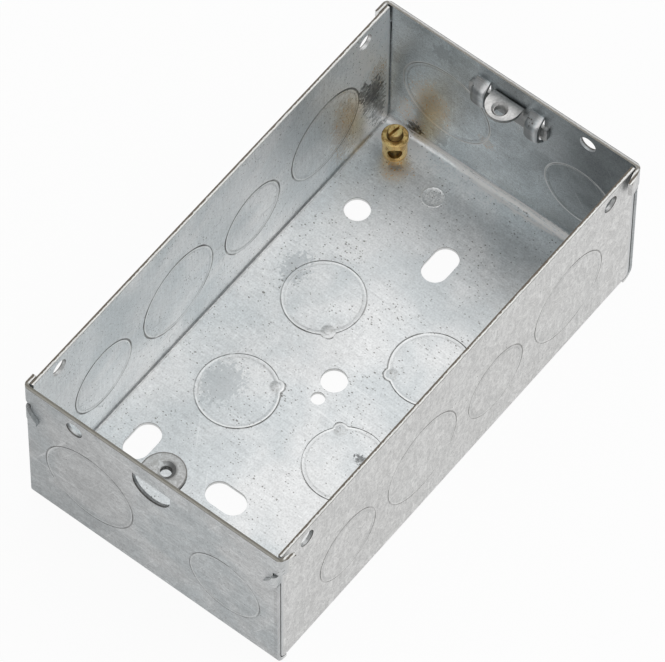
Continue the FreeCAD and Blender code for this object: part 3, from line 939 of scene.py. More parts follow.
        # Each mask, with the factor of painted light and shade that it gets.
        tones = (
            (zones.on_far, y.at(-26.0, 2.0, 0.50, 1.06) * z.at(4.0, 40.0, 1.26, 1.0)),
            (zones.on_left, x.at(28.0, 62.0, 1.12, 1.52) * x.at(-50.0, -20.0, 1.06, 1.0)),
            (zones.near * zones.outside, y.at(-5.0, 22.0, 0.97, 0.82)),
            (zones.inside * zones.flat, x.at(54.0, 60.5, 1.0, 1.50) * y.at(20.0, 33.0, 1.0, 1.16)),
            (bridged, along_bridge.step(0.02, 0.12, 1.25, 0.50)),
            (dished, (y - from_hole * 0.5).at(-1.2, 1.2, 0.40, 1.35)),
        )
        level: Feed = 1.0
        for mask, tone in tones:
            level = tone.only(mask) * level
        return level

    def marks(self) -> None:
        """Lays the darker and the dark bluish patches, the brown patches of real staining and painted brass
        reflection, the painted shadow and painted shade patches, the bright patches and painted highlights, the
        specks, scratches and fine curls.
        """
        finish, zones, mottle = self.finish, self.zones, self.mottle
        self.shade(self.marked(finish.dulled) * -0.045 + 1.0)
        self.cover(self.marked(finish.dark_blue_patches) * 0.50, finish.dark_blue)
        # Painted reflection: most of these brown patches stand for the brass terminal mirrored in the zinc, the rest
        # are real staining; the orange dots are the brass's glints.
        stain_and_reflection = self.marked(finish.stains_and_reflections)
        crust = (self.grit + mottle).step(0.93, 1.10, 0.32, 1.0)
        self.cover(stain_and_reflection * crust * 0.86, self.graph.blend(zones.on_far, finish.rust_and_reflection, finish.rust_and_reflection_far))
        self.cover(stain_and_reflection * (self.grit + self.flecks).step(1.24, 1.31) * 0.85, finish.rust_and_reflection_dot)
        # Painted shadow on the left wall beside the far corner.
        self.cover(self.marked(finish.shadow_patches) * mottle.step(0.34, 0.64, 0.62, 0.44), finish.shadow_patch)
        # Painted shade: small dark patches beside the terminal, and one on the floor.
        self.cover(self.marked(finish.shade_spots) * mottle.step(0.34, 0.64, 0.96, 0.55), finish.shade_spot)
        # Painted highlight: small bright patches on the left and far walls; the press mark is made bright as from
        # rubbing.
        self.cover(self.marked(finish.rubbed_and_highlights) * self.grains * 0.55, finish.rub_and_highlight_colour)
        self.cover(self.specks() * 0.78, finish.speck)
        self.cover(self.scratches() * 0.30, finish.scratch)
        curl = abs(self.graph.noise(zones.place, 55.0, 0.0, 0.5, 1.2) - 0.5).fall(0.003, 0.009)
        self.cover(curl * self.bloom.step(0.50, 0.58) * zones.side * zones.inside * 0.40, finish.hair)

    def marked(self, marks: Sequence[Mark]) -> Value:
        """Finds where any of several marks is.

        Args:
            marks: The marks.

        Returns:
            How strong they are, from 0 to 1.
        """
        covers = [mark.cover(self.graph, self.zones.place, self.fray) for mark in marks]
        found = covers[0]
        for cover in covers[1:]:
            found = found.most(cover)
        return found

    def specks(self) -> Value:
        """Scatters pits and specks of three sizes, drawn out along the grain and crowded in places.

        Returns:
            Where they are, from 0 to 1.
        """
        zones = self.zones
        drawn = self.graph.combine(zones.u * 1.25, zones.v * 0.85, zones.layer)
        crowd = self.bloom.step(0.42, 0.62, 0.0, 0.6).most(self.marked(self.finish.dirt))
        fewer = zones.outside * -0.10 + zones.on_far * -0.09
        found: Feed = 0.0
        for scale, spread, crowding, least in ((1500.0, 0.56, 0.16, -0.30), (760.0, 0.50, 0.12, -0.34),
                                               (270.0, 0.42, 0.02, -0.345)):
            far, luck = self.graph.cells(drawn, scale)
            size = luck * spread + crowd * crowding + least + fewer
            found = (size - far).step(0.0, 0.05).most(found)
        return found

    def scratches(self) -> Value:
        """Draws thin pale scratches along the grain and aslant to it.

        Returns:
            Where they are, from 0 to 1.
        """
        zones = self.zones
        aslant = self.graph.combine(zones.u * 34.0 + zones.v * 20.0, zones.v * 950.0 + zones.u * -550.0, zones.layer)
        crossing = self.graph.noise(aslant, 1.0, 2.0, 0.7, 0.2)
        return self.drawn(1100.0, 24.0, 2.0, 0.75, 0.3).step(0.66, 0.74).most(crossing.step(0.67, 0.74))

    def knockouts(self) -> None:
        """Draws the sheared circles: a dark line, a painted highlight beside it, a darker band inside it, a faint line
        in that band, and the painted shade of the dimple beside each floor nib.
        """
        zones, clouds, bloom = self.zones, self.clouds, self.bloom
        outside, on_far, on_left = zones.outside, zones.on_far, zones.on_left
        ring = self.rings()
        thickness = on_left * 0.09 + bloom.step(0.38, 0.60, 0.04, 0.15)
        line = ((abs(ring + 0.06) - thickness).fall(0.0, 0.10) * bloom.step(0.38, 0.58, outside.pick(0.40, 0.0), 1.0)
                * outside.pick(0.72, 0.50) * on_left.pick(1.0, 1.25) * zones.z.at(13.0, 22.0, 1.0, 0.10).only(on_far))
        beside = abs(ring + on_far.pick(0.42, 0.02)) - on_far * 0.12
        glint = beside.fall(0.10, 0.26) * clouds.step(0.40, 0.56).most(on_far) * outside.pick(1.0, 0.5)
        band = ring.step(-1.45, -1.05) * ring.fall(-0.95, -0.2) * clouds.step(0.42, 0.56, 1.0, 0.30)
        self.cover(band * 0.28, self.finish.inner_band)
        self.cover(line * 0.92, self.finish.sheared)
        # Painted highlight beside the sheared line.
        self.cover(glint * on_far.pick(0.46, 0.80), self.finish.glint)
        lap = (abs(ring + 1.0).fall(0.04, 0.16) * self.mottle.step(0.40, 0.56) * clouds.step(0.42, 0.56, 1.0, 0.25)
               * zones.inside)
        self.cover(lap * 0.45, self.finish.lap)
        # Painted shade in the shallow dimple beside each floor nib.
        self.cover(self.coined() * self.grains * 0.55, self.finish.coin_shade)

    def rings(self) -> Value:
        """Measures how far a point is outside the nearest sheared circle of its wall.

        Returns:
            The distance in millimetres, which is less than 0 inside the circle.
        """
        zones = self.zones
        x, y, z = (value * PER_METRE for value in (zones.x, zones.y, zones.z))
        small, large = SIZE.small / 2, SIZE.large / 2
        on_floor = (abs(x) - SIZE.floor_ring[0]).reach(abs(y) - SIZE.floor_ring[1]) - small
        nib = (abs(x) - SIZE.floor_nib[0]).reach(abs(y) - SIZE.floor_nib[1]) - 1.9
        on_floor = self.graph.math("SMOOTH_MIN", on_floor, nib, 0.45)
        to_small = (x + SIZE.pitch * 1.5).folded(SIZE.pitch).reach(z - SIZE.small_rise) - small
        to_large = (x + SIZE.pitch * 0.5).folded(SIZE.pitch).reach(z - SIZE.large_rise) - large
        nearer = (abs(to_small) - abs(to_large)).step(-0.01, 0.01)
        on_side = nearer * (to_large - to_small) + to_small + abs(x).step(53.3, 53.5, 0.0, 50.0)
        wide = y.step(-2.6, -2.4)
        run = y - (wide * (SIZE.end_large - SIZE.end_small) + SIZE.end_small)
        rise = z - (wide * (SIZE.large_rise - SIZE.small_rise) + SIZE.small_rise)
        on_end = run.reach(rise) - (wide * (large - small) + small) + abs(y).step(32.0, 32.3, 0.0, 5.0)
        return zones.flat * on_floor + zones.side * on_side + zones.end * on_end

    def coined(self) -> Value:
        """Finds the lens-shaped dimple that the punch leaves inside a floor knock-out, beside its nib, which gets
        painted shade.

        Returns:
            Where it is, from 0 to 1.
        """
        zones = self.zones
        aside_x, aside_y = abs(zones.x) * PER_METRE, abs(zones.y) * PER_METRE
        by_nib = (aside_x - SIZE.floor_nib[0]).reach(aside_y - SIZE.floor_nib[1]) - 1.85
        in_ring = (aside_x - SIZE.floor_ring[0]).reach(aside_y - SIZE.floor_ring[1]) - 9.65
        return by_nib.most(in_ring).fall(-0.25, 0.0) * zones.inside * zones.z.until(1.2, 1.6)

    def bend(self) -> tuple[Value, Value]:
        """Lays the pale strip along the inside of the far fold and the bright lines in it, both painted highlights.

        Returns:
            Where the strip and the lines are, from 0 to 1.
        """
        zones, mottle = self.zones, self.mottle
        u, v = zones.u, zones.v
        in_fold = zones.inside * zones.z.until(6.0, 7.0)
        run = u + mottle * (1.2 * MM) + self.flecks * (1.0 * MM) + -1.1 * MM
        lower = abs(v + 3.0 * MM).at(6.0, 24.0, 61.4 * MM, 63.7 * MM)
        strip = (run - lower).at(-0.5, 0.4) * u.until(65.9, 66.3) * in_fold * v.at(20.0, 26.0, 1.0, 0.35)
        line = abs(u - 65.4 * MM).until(0.2, 0.5) * v.at(6.0, 12.0) * in_fold * v.until(27.0, 29.0)
        corner = abs(run - 64.0 * MM).until(0.5, 1.0) * v.at(27.2, 28.4) * v.until(33.5, 34.5) * in_fold
        fold_highlights = line.most(corner)
        # Painted highlight: the pale strip along the inside of the far fold.
        self.cover(strip * (self.grain + mottle * 0.6).step(0.64, 0.82, 0.15, 1.0), self.finish.strip)
        # Painted highlight: white lines in the fold and at its corner.
        self.cover(fold_highlights, WHITE)
        # Painted shade: a dark line in the crease along the inside of the long folds.
        fold = abs(abs(v) - 34.9 * MM).until(0.3, 1.2) * zones.inside
        self.cover(fold * mottle.step(0.38, 0.55, 0.25, 0.6), self.finish.fold)
        return strip, fold_highlights

    def edges(self) -> None:
        """Lays the rim's painted highlight and its brown line, which is partly sheared-edge brown and partly painted
        shade, with painted shade along its outer border. Then it lays dark cut edges and the fixed lug's border.
        """
        graph, finish, zones, mottle = self.graph, self.finish, self.zones, self.mottle
        side_highlight, near_highlight, far_highlight = finish.rim_highlights
        near_brown, far_brown = finish.brown_rims_and_shade
        # Painted highlight along the middle of the rim; the brown line beside it is partly the sheared edge's own
        # brown and partly painted shade.
        bright = graph.blend(zones.far, graph.blend(zones.near, side_highlight, near_highlight), far_highlight)
        brown = graph.blend(zones.near, graph.blend(zones.far, finish.oxide, far_brown), near_brown)
        rim = Paint(graph, bright)
        rim.cover(((mottle - 0.5) * 0.7 + zones.rim_part).step(0.48, 0.62), brown)
        # Painted shade along the rim's outer border.
        rim.cover(zones.rim_part.step(0.10, 0.20, 0.75, 0.0), finish.rim_edge_shade)
        rim.shade(mottle * 0.9 + 0.55)
        self.cover(zones.rim * 0.95, rim.colour)
        self.cover(zones.cut * 0.80, finish.cut_edge)
        # Painted reflection: the edges of the floor's holes are made pale like the white background.
        self.cover(zones.hole * 0.7, finish.hole_edge_reflection)
        self.cover(zones.hole * zones.z.at(0.68, 0.80) * 0.85, finish.hole_seam)
        self.cover(zones.lug * mottle.step(0.40, 0.62, 0.72, 0.42), finish.lug_shade)
        border = (zones.x + 61.2 * MM).most(0.0).reach(zones.y).at(4.90, 5.10)
        self.cover((zones.lug * border).most(zones.lug_edge) * 0.75, finish.lug_border)


# Finishes of the other pieces


@dataclass(frozen=True)
class PlatedFinish:
    """Bright plating of the sliding lug, with a soft grain and small pits.

    Attributes:
        pale: Colour of the plating.
        shade: Colour of its clouds.
        pit: Colour of its pits.
    """

    pale: Colour = (0.57, 0.565, 0.555)
    shade: Colour = (0.425, 0.425, 0.42)
    pit: Colour = (0.16, 0.145, 0.125)

    def material(self) -> bpy.types.Material:
        """Makes the finish's material."""
        return metal_material("plated_strip", self.paint)

    def paint(self, graph: NodeGraph) -> Coat:
        """Adds the nodes of the finish.

        Args:
            graph: The shader's nodes.

        Returns:
            The surface's colour, roughness and relief.
        """
        place = graph.node("ShaderNodeTexCoord").outputs["Object"]
        x, y, z = graph.split(place)
        clouds = graph.noise(place, 260.0, 4.0, 0.6, 0.4)
        grain = graph.noise(graph.combine(x * 700.0, y * 120.0, z * 4200.0), 1.0, 3.0, 0.6)
        grit = graph.noise(place, 2300.0, 0.0)
        far, luck = graph.cells(place, 1500.0)
        pit = far.fall(0.10, 0.16) * luck.step(0.7, 0.8)
        layers = Paint(graph, graph.blend(clouds.step(0.35, 0.65), self.pale, self.shade))
        layers.shade(0.70 + grain * 0.22 + grit * 0.36)
        layers.cover(pit * 0.7, self.pit)
        return Coat(layers.colour, 0.22 + clouds * 0.16 + grain * 0.08, clouds * 0.03 + grain * 0.004 + pit * -0.004)


@dataclass(frozen=True)
class BrassFinish:
    """Turned brass of the terminal and its screw, with lathe lines, tarnish, dirt, painted shade round and inside the
    screw, and painted light in the bore.

    Attributes:
        name: Name of the material.
        gold: Colour of clean brass.
        tarnish: Colour of the darkened brass.
        lit_bore: Colour of painted light inside the bore.
        grease_and_shades: Colours of the dirt specks, of the painted shade in the ring round the screw, and of the
            painted shade below the recess height.
        bottom: Height where the turned part starts, in millimetres.
        recess: Height below which the piece is painted dark as shade in the driver slot, in millimetres.
    """

    name: str
    gold: Colour = (0.93, 0.64, 0.27)
    tarnish: Colour = (0.42, 0.265, 0.085)
    lit_bore: Colour = (1.0, 0.88, 0.60)
    grease_and_shades: Sequence[Colour] = ((0.12, 0.075, 0.025), (0.15, 0.09, 0.03), (0.22, 0.135, 0.045))
    bottom: float = 1.0
    recess: float = 0.0

    def material(self) -> bpy.types.Material:
        """Makes the finish's material."""
        return metal_material(self.name, self.paint)

    def paint(self, graph: NodeGraph) -> Coat:
        """Adds the nodes of the finish.

        Args:
            graph: The shader's nodes.

        Returns:
            The surface's colour, roughness and relief.
        """
        place = graph.node("ShaderNodeTexCoord").outputs["Object"]
        x, y, z = graph.split(place)
        axis_x, axis_y = SIZE.terminal
        reach = (x - axis_x * MM).reach(y - axis_y * MM)
        turning = graph.noise(graph.combine(reach * 7000.0, z * 7000.0, 0.0), 1.0, 2.0, 0.5)
        clouds = graph.noise(place, 520.0, 4.0, 0.65, 0.5)
        dirt = graph.noise(place, 1300.0, 4.0, 0.7)
        foot = z.at(self.bottom + 0.1, self.bottom + 1.4, 0.55, 0.0)
        speck_grease, ring_shade, recess_shade = self.grease_and_shades
        layers = Paint(graph, graph.blend(clouds.step(0.46, 0.62, 0.0, 0.85).most(foot), self.gold, self.tarnish))
        layers.shade(0.80 + turning * 0.42 + dirt * 0.36)
        layers.cover(dirt.step(0.58, 0.68, 0.0, 0.60), speck_grease)
        # Painted shade in the gap round the screw.
        layers.cover(abs(reach - 1.86 * MM).at(0.10, 0.24, 0.8, 0.0), ring_shade)
        # Painted shade below the recess height, inside the driver slot.
        layers.cover(z.at(self.recess - 0.5, self.recess + 0.1, 0.75, 0.0), recess_shade)
        # Painted light inside the bore.
        layers.cover(reach.until(1.4, 2.6) * z.until(6.6, 7.2) * clouds.step(0.40, 0.60), self.lit_bore)
        relief = clouds * 0.05 + turning * 0.008 + dirt * 0.012
        return Coat(layers.colour, 0.15 + clouds * 0.20 + dirt * 0.12, relief)


# Sub-assemblies


@dataclass(frozen=True)
class Knockout:
    """One knock-out of the sheet.

    Attributes:
        run: Place of its middle along the wall, or along the length for the floor, in millimetres.
        rise: Height of its middle, or place across the width for the floor, in millimetres.
        diameter: Diameter of the sheared circle, in millimetres.
        nib: Angle of its prising nib as seen in the plane, in degrees, or None where it has none.
    """

    run: float
    rise: float
    diameter: float
    nib: float | None = None


@dataclass
class KnockoutRelief:
    """Rolled lips and pressed nibs that the half-sheared knock-outs show on one face of the sheet.

    Attributes:
        face: Side of the sheet that the relief stands on.
        knockouts: The knock-outs of that side.
        lip_width: Width of the rolled band inside the sheared line, in millimetres.
        lip_height: How far the band stands proud at the line, in millimetres.
        groove: Depth of the sheared line, which the sheared metal closes below, in millimetres.
        nib_radius: Radius of a pressed nib, in millimetres.
        nib_height: How far a nib stands proud, in millimetres.
        nib_inset: How far a nib's middle lies inside the sheared circle, in millimetres.
        kerf: Width of the sheared line, in millimetres.
        sides: Number of sides of a sheared circle.
        nib_sides: Number of sides of a nib.
        nib_rings: Number of rings of points on a nib.
        profile: Inset of each corner of the band, as part of its width, and its part of the height.
    """

    face: Face
    knockouts: Sequence[Knockout]
    lip_width: float = 1.3
    lip_height: float = 0.09
    groove: float = 0.16
    nib_radius: float = 1.9
    nib_height: float = 0.2
    nib_inset: float = 0.84
    kerf: float = 0.16
    sides: int = 96
    nib_sides: int = 28
    nib_rings: int = 6
    profile: Sequence[tuple[float, float]] = ((0.0, 0.80), (0.06, 0.95), (0.12, 1.0), (0.45, 0.62), (0.75, 0.25),
                                              (1.0, 0.0))
    points: list[Point] = field(default_factory=list)
    faces: Faces = field(default_factory=list)

    def add_lip(self, knockout: Knockout, number: int) -> None:
        """Adds the rolled band of one knock-out.

        Args:
            knockout: The knock-out.
            number: Its number on this face, which changes how the band's height varies.
        """
        edge = knockout.diameter / 2 - self.kerf
        buried, foot = -0.3, -0.015
        outer = edge + self.kerf + 0.02
        first = len(self.points)
        for step, (cosine, sine) in enumerate(circle(self.sides)):
            angle = 2 * math.pi * step / self.sides
            wave = 0.5 + 0.28 * math.sin(angle + 1.9 * number) + 0.14 * math.sin(3 * angle + 0.7 * number)
            height = self.lip_height * (0.25 + wave)
            width = self.lip_width * (0.45 + 0.75 * wave)
            groove = self.groove * (0.6 + 0.8 * wave)
            outline = [(outer, buried), (outer, -groove), (edge, -groove)]
            outline += [(edge - width * inset, height * part if part > 0 else foot) for inset, part in self.profile]
            self.points += [self.face.value.point(knockout.run + radius * cosine, knockout.rise + radius * sine, proud)
                            for radius, proud in outline]
        self.faces += bands(self.sides, len(self.profile) + 3, first, closed=True)

    def add_nib(self, knockout: Knockout) -> None:
        """Adds the pressed dome where a knock-out is prised out.

        Args:
            knockout: The knock-out.
        """
        if knockout.nib is None:
            return
        angle = math.radians(knockout.nib)
        radius = knockout.diameter / 2 - self.nib_inset
        middle = (knockout.run + radius * math.cos(angle), knockout.rise + radius * math.sin(angle))
        rings, sides, sunk = self.nib_rings, self.nib_sides, 0.01
        first = len(self.points)
        for ring in range(rings):
            share = 1 - ring / rings
            proud = self.nib_height * (1 - share**2) ** 1.5 - sunk
            reach = share * self.nib_radius
            self.points += [self.face.value.point(middle[0] + reach * cosine, middle[1] + reach * sine, proud)
                            for cosine, sine in circle(sides)]
        top = len(self.points)
        self.points.append(self.face.value.point(*middle, self.nib_height - sunk))
        last = first + (rings - 1) * sides
        self.faces += bands(rings, sides, first)
        self.faces += [(last + side, last + (side + 1) % sides, top) for side in range(sides)]
        self.faces.append(tuple(range(first, first + sides)))

    def build(self, finish: bpy.types.Material) -> bpy.types.Object:
        """Builds the relief of the face as one piece on the box.

        Args:
            finish: Material of the sheet.

        Returns:
            The piece.
        """
        for number, knockout in enumerate(self.knockouts):
            self.add_lip(knockout, number)
            self.add_nib(knockout)
        made = mesh_object(f"knockout_relief_{self.face.value.name}", self.points, self.faces)
        return finished(made, finish, Body.BOX, smooth=35)


@dataclass
class SheetBox:
    """The folded sheet with its knock-outs, bridges, tapped lug and plain press mark.

    Attributes:
        mark_place: Middle of the round press mark on the floor, in millimetres.
        mark_radius: Radius of the mark, in millimetres.
        mark_sides: Number of sides of the mark.
        mark_profile: Radius of each ring of the mark, as part of the whole, and how far it stands proud.
        inside_lip: Width and height of a wall knock-out's lip on the inside, and its groove's depth.
        outside_lip: The same on the outside.
        wall_nib: Radius, height and inset of a wall knock-out's nib, in millimetres.
    """

    mark_place: tuple[float, float] = (53.0, 12.6)
    mark_radius: float = 2.9
    mark_sides: int = 72
    mark_profile: Sequence[tuple[float, float]] = ((1.0, -0.02), (0.975, 0.035), (0.93, 0.06), (0.88, 0.05),
                                                   (0.84, 0.012), (0.5, 0.018), (0.15, 0.02))
    inside_lip: tuple[float, float, float] = (1.0, 0.07, 0.14)
    outside_lip: tuple[float, float, float] = (0.55, 0.03, 0.07)
    wall_nib: tuple[float, float, float] = (1.4, 0.13, 0.4)

    def build(self, finish: GalvanisedFinish) -> list[bpy.types.Object]:
        """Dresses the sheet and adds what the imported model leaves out.

        Args:
            finish: Finish of the sheet.

        Returns:
            The added pieces.
        """
        material = finish.material()
        dress(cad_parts["shell"], material)
        crowns = [BridgeCrown(f"bridge_crown_{name}", side * SIZE.bridge_spacing / 2).build(material)
                  for name, side in (("left", 1), ("right", -1))]
        thread = ThreadSleeve("fixed_lug_thread", -SIZE.hole_x).build(material, Body.BOX, Slot.SHEET)
        return [*self.reliefs(material), self.press_mark(material), *crowns, thread]

    def reliefs(self, material: bpy.types.Material) -> list[bpy.types.Object]:
        """Builds the lips and nibs of every face of the sheet.

        Args:
            material: Material of the sheet.

        Returns:
            One piece for each face.
        """
        across, rise = SIZE.floor_ring
        floor = [Knockout(x, y, SIZE.small, math.degrees(math.atan2(-y, -x)))
                 for x in (-across, across) for y in (-rise, rise)]
        small, large = (SIZE.small_rise, SIZE.small), (SIZE.large_rise, SIZE.large)
        side_rows = [(SIZE.pitch * share, *row) for share, row in zip((-1.5, -0.5, 0.5, 1.5), (small, large) * 2)]
        end_rows = [(SIZE.end_large, *large), (SIZE.end_small, *small)]
        made = [KnockoutRelief(Face.FLOOR_INSIDE, floor).build(material)]
        for face in list(Face)[1:]:
            rows = end_rows if face.value.axis == 0 else side_rows
            knockouts = [Knockout(*row, nib) for row, nib in zip(rows, face.value.nibs)]
            lip = self.inside_lip if face.value.name.endswith("inside") else self.outside_lip
            made.append(KnockoutRelief(face, knockouts, *lip, *self.wall_nib).build(material))
        return made

    def press_mark(self, material: bpy.types.Material) -> bpy.types.Object:
        """Builds the plain round press mark on the floor.

        Args:
            material: Material of the sheet.

        Returns:
            The piece.
        """
        (x, y), radius, sides = self.mark_place, self.mark_radius, self.mark_sides
        points = [(x + radius * share * cosine, y + radius * share * sine, SIZE.sheet + proud)
                  for share, proud in self.mark_profile for cosine, sine in circle(sides)]
        faces = bands(len(self.mark_profile), sides)
        faces += [tuple(range(len(points) - sides, len(points))), tuple(reversed(range(sides)))]
        return finished(mesh_object("press_mark", points, faces), material, Body.BOX, smooth=40)


@dataclass(frozen=True)
class Thread:
    """Profile of a thread.

    Attributes:
        root: Radius between the turns, in millimetres.
        crest: Radius at the crest of a turn, in millimetres.
        pitch: Rise of one turn, in millimetres.
    """

    root: float
    crest: float
    pitch: float = SIZE.thread_pitch

    def radius(self, height: float, turn: float) -> float:
        """Follows the thread's profile.

        Args:
            height: Height, in millimetres.
            turn: Part of a turn, from 0 to 1.

        Returns:
            Radius there, in millimetres.
        """
        phase = (height / self.pitch - turn) % 1.0
        ridge = 1 - abs(2 * phase - 1)
        return self.root + (self.crest - self.root) * min(1.0, max(0.0, 1.35 * ridge - 0.12))


@dataclass
class ThreadSleeve:
    """Turns of the thread that is tapped in a lug's collar.

    Attributes:
        name: Name of the piece.
        x: Place of the hole along the length, in millimetres.
        low: Height where the thread starts, in millimetres.
        high: Height where it ends, in millimetres.
        backing: Thickness of the sleeve behind the root, in millimetres.
        thread: Profile of the thread.
        sides: Number of sides.
        rows: Number of steps in height.
    """

    name: str
    x: float
    low: float = 39.75
    high: float = 41.35
    backing: float = 0.035
    thread: Thread = Thread(root=1.455, crest=1.33)
    sides: int = 48
    rows: int = 32

    def build(self, material: bpy.types.Material, body: Body, slot: Slot) -> bpy.types.Object:
        """Builds the sleeve of turns.

        Args:
            material: Material of the lug.
            body: Body that the lug rides on.
            slot: Not used.

        Returns:
            The piece.
        """
        corners = circle(self.sides)
        points: list[Point] = []
        for row in range(self.rows + 1):
            z = self.low + (self.high - self.low) * row / self.rows
            for side, (cosine, sine) in enumerate(corners):
                reach = self.thread.radius(z, side / self.sides)
                points.append((self.x + reach * cosine, reach * sine, z))
        back = self.thread.root + self.backing
        points += [(self.x + back * cosine, back * sine, z) for z in (self.high, self.low) for cosine, sine in corners]
        made = mesh_object(self.name, points, bands(self.rows + 3, self.sides, closed=True))
        return finished(made, material, body, smooth=50)


@dataclass
class BridgeCrown:
    """Rounded skin of a pressed bridge, which is domed across its width by the pressing.

    Attributes:
        name: Name of the piece.
        y: Place of the bridge's middle across the width, in millimetres.
        height: Height of the bridge's middle, in millimetres.
        rise: How far the bridge stands off the wall, in millimetres.
        foot: Half the length of the bridge at the wall, in millimetres.
        crown: Half the length of its flat crown before rounding, in millimetres.
        width: Width of the bridge, in millimetres.
        fold: Radius of the crown's rounding, in millimetres.
        dome: How far the middle stands proud, in millimetres.
        wrap: How far the skin reaches past the bridge's edges, in millimetres.
        sunk: Depth of the skin's back below the bridge's face, in millimetres.
        edge: Depth at which the dome starts, in millimetres.
        flank: Thickness of the skin at the bridge's edges, in millimetres.
        steps: Steps of the crown's rounding.
        dome_steps: Steps across the dome.
    """

    name: str
    y: float
    height: float = 37.2
    rise: float = 2.7
    foot: float = 5.2
    crown: float = 2.6
    width: float = 3.7
    fold: float = 3.5
    dome: float = 0.34
    wrap: float = 0.03
    sunk: float = 0.9
    edge: float = 0.30
    flank: float = 0.3
    steps: int = 10
    dome_steps: int = 16

    def path(self) -> list[tuple[float, float, float]]:
        """Follows the bridge's face from its lower foot to its upper one.

        Returns:
            Height above the middle, rise off the wall and slope in radians, for each step.
        """
        slope = math.atan2(self.rise, self.foot - self.crown)
        middle = (self.crown - self.fold * math.tan(slope / 2), self.rise - self.fold)
        upper: list[tuple[float, float, float]] = [(0.0, self.rise, 0.0)]
        for step in range(self.steps + 1):
            turn = slope * step / self.steps
            upper.append((middle[0] + self.fold * math.sin(turn), middle[1] + self.fold * math.cos(turn), turn))
        last_height, last_rise, _ = upper[-1]
        for share in (0.35, 0.7, 0.92):
            upper.append((last_height + (self.foot - last_height) * share, last_rise * (1 - share), slope))
        return [(-height, rise, -turn) for height, rise, turn in reversed(upper[1:])] + upper

    def section(self) -> list[tuple[float, float]]:
        """Follows the skin across the bridge.

        Returns:
            Place across it and how far it stands proud of its face, for each corner.
        """
        half, inner = self.width / 2 + self.wrap, self.width / 2 - self.flank
        section = [(-half, -self.sunk)]
        for step in range(self.dome_steps + 1):
            turn = math.pi * step / self.dome_steps
            across = -half * math.copysign(abs(math.cos(turn)) ** 0.75, math.cos(turn))
            section.append((across, -self.edge + (self.dome + self.edge) * math.sin(turn) ** 0.8))
        return section + [(half, -self.sunk), (inner, -self.sunk), (-inner, -self.sunk)]

    def build(self, material: bpy.types.Material) -> bpy.types.Object:
        """Builds the skin as a closed shell round the bridge's face and both its edges.

        Args:
            material: Material of the sheet.

        Returns:
            The piece.
        """
        path, section = self.path(), self.section()
        points: list[Point] = []
        for number, (height, rise, turn) in enumerate(path):
            fade = min(1.0, min(number, len(path) - 1 - number) / 4)
            for across, proud in section:
                lift = 0.02 + proud * (0.25 + 0.75 * fade) if proud > 0 else proud
                reach = rise + lift * math.cos(turn)
                points.append((INNER_END - reach, self.y + across, self.height + height + lift * math.sin(turn)))
        count = len(section)
        faces = bands(len(path), count)
        faces += [tuple(range(count)), tuple(reversed(range(len(points) - count, len(points))))]
        return finished(mesh_object(self.name, points, faces), material, Body.BOX, smooth=50)


@dataclass
class EarthTerminal:
    """The brass terminal post and its slotted clamp screw.

    Attributes:
        thread: Profile of the screw's thread.
        low: Height of the screw's lower end, in millimetres.
        high: Height of its top, in millimetres.
        chamfer: Bevel at both ends, in millimetres.
        slot_width: Width of the driver slot, in millimetres.
        slot_depth: Depth of the driver slot, in millimetres.
        slot_turn: Turn of the driver slot, in degrees.
        sides: Number of sides of the screw.
        rows: Number of steps in its height.
    """

    thread: Thread = Thread(root=1.6, crest=1.8)
    low: float = 6.0
    high: float = 10.0
    chamfer: float = 0.25
    slot_width: float = 0.75
    slot_depth: float = 1.0
    slot_turn: float = -8.0
    sides: int = 64
    rows: int = 64

    def build(self) -> list[bpy.types.Object]:
        """Dresses the post and builds the threaded screw in place of the plain one.

        Returns:
            The added pieces.
        """
        dress(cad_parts["earth_terminal"], BrassFinish("terminal_brass").material())
        finish = BrassFinish("screw_brass", gold=(0.95, 0.67, 0.29), bottom=0.0, recess=9.75)
        return [self.screw(finish.material())]

    def screw(self, material: bpy.types.Material) -> bpy.types.Object:
        """Builds the clamp screw with its thread, bevels and driver slot.

        Args:
            material: Material of the screw.

        Returns:
            The piece.
        """
        x, y = SIZE.terminal
        sides, rows = self.sides, self.rows
        points: list[Point] = [(x, y, self.low)]
        for row in range(rows + 1):
            z = self.low + (self.high - self.low) * row / rows
            widest = self.thread.crest - max(0.0, self.chamfer - min(z - self.low, self.high - z))
            for side, (cosine, sine) in enumerate(circle(sides)):
                reach = min(widest, self.thread.radius(z, side / sides))
                points.append((x + reach * cosine, y + reach * sine, z))
        top, last = len(points), 1 + rows * sides
        points.append((x, y, self.high))
        faces = bands(rows + 1, sides, first=1)
        for side in range(sides):
            after = (side + 1) % sides
            faces += [(0, 1 + after, 1 + side), (last + side, last + after, top)]
        made = mesh_object("clamp_screw", points, faces)
        self.cut_slot(made)
        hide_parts("terminal_screw")
        return finished(made, material, Body.SCREW, smooth=32)

    def cut_slot(self, made: bpy.types.Object) -> None:
        """Cuts the driver slot out of the screw's top.

        Args:
            made: The screw, which is changed.
        """
        half_width, reach = self.slot_width / 2, self.thread.crest + 1
        low, high = self.high - self.slot_depth, self.high + 1
        turn = Matrix.Rotation(math.radians(self.slot_turn), 3, "Z")
        corners = [(x, y, z) for x in (-reach, reach) for y in (-half_width, half_width) for z in (low, high)]
        middle = Vector((*SIZE.terminal, 0))
        blade = mesh_object("slot_blade", [turn @ Vector(corner) + middle for corner in corners],
                            [(0, 1, 3, 2), (4, 6, 7, 5), (0, 4, 5, 1), (2, 3, 7, 6), (0, 2, 6, 4), (1, 5, 7, 3)])
        cutter = made.modifiers.new("driver_slot", "BOOLEAN")
        cutter.operation, cutter.solver, cutter.object = "DIFFERENCE", "EXACT", blade
        bpy.context.view_layer.update()
        cut = made.evaluated_get(bpy.context.evaluated_depsgraph_get())
        mesh = bpy.data.meshes.new_from_object(cut)
        made.modifiers.clear()
        made.data = mesh
        bpy.data.objects.remove(blade)


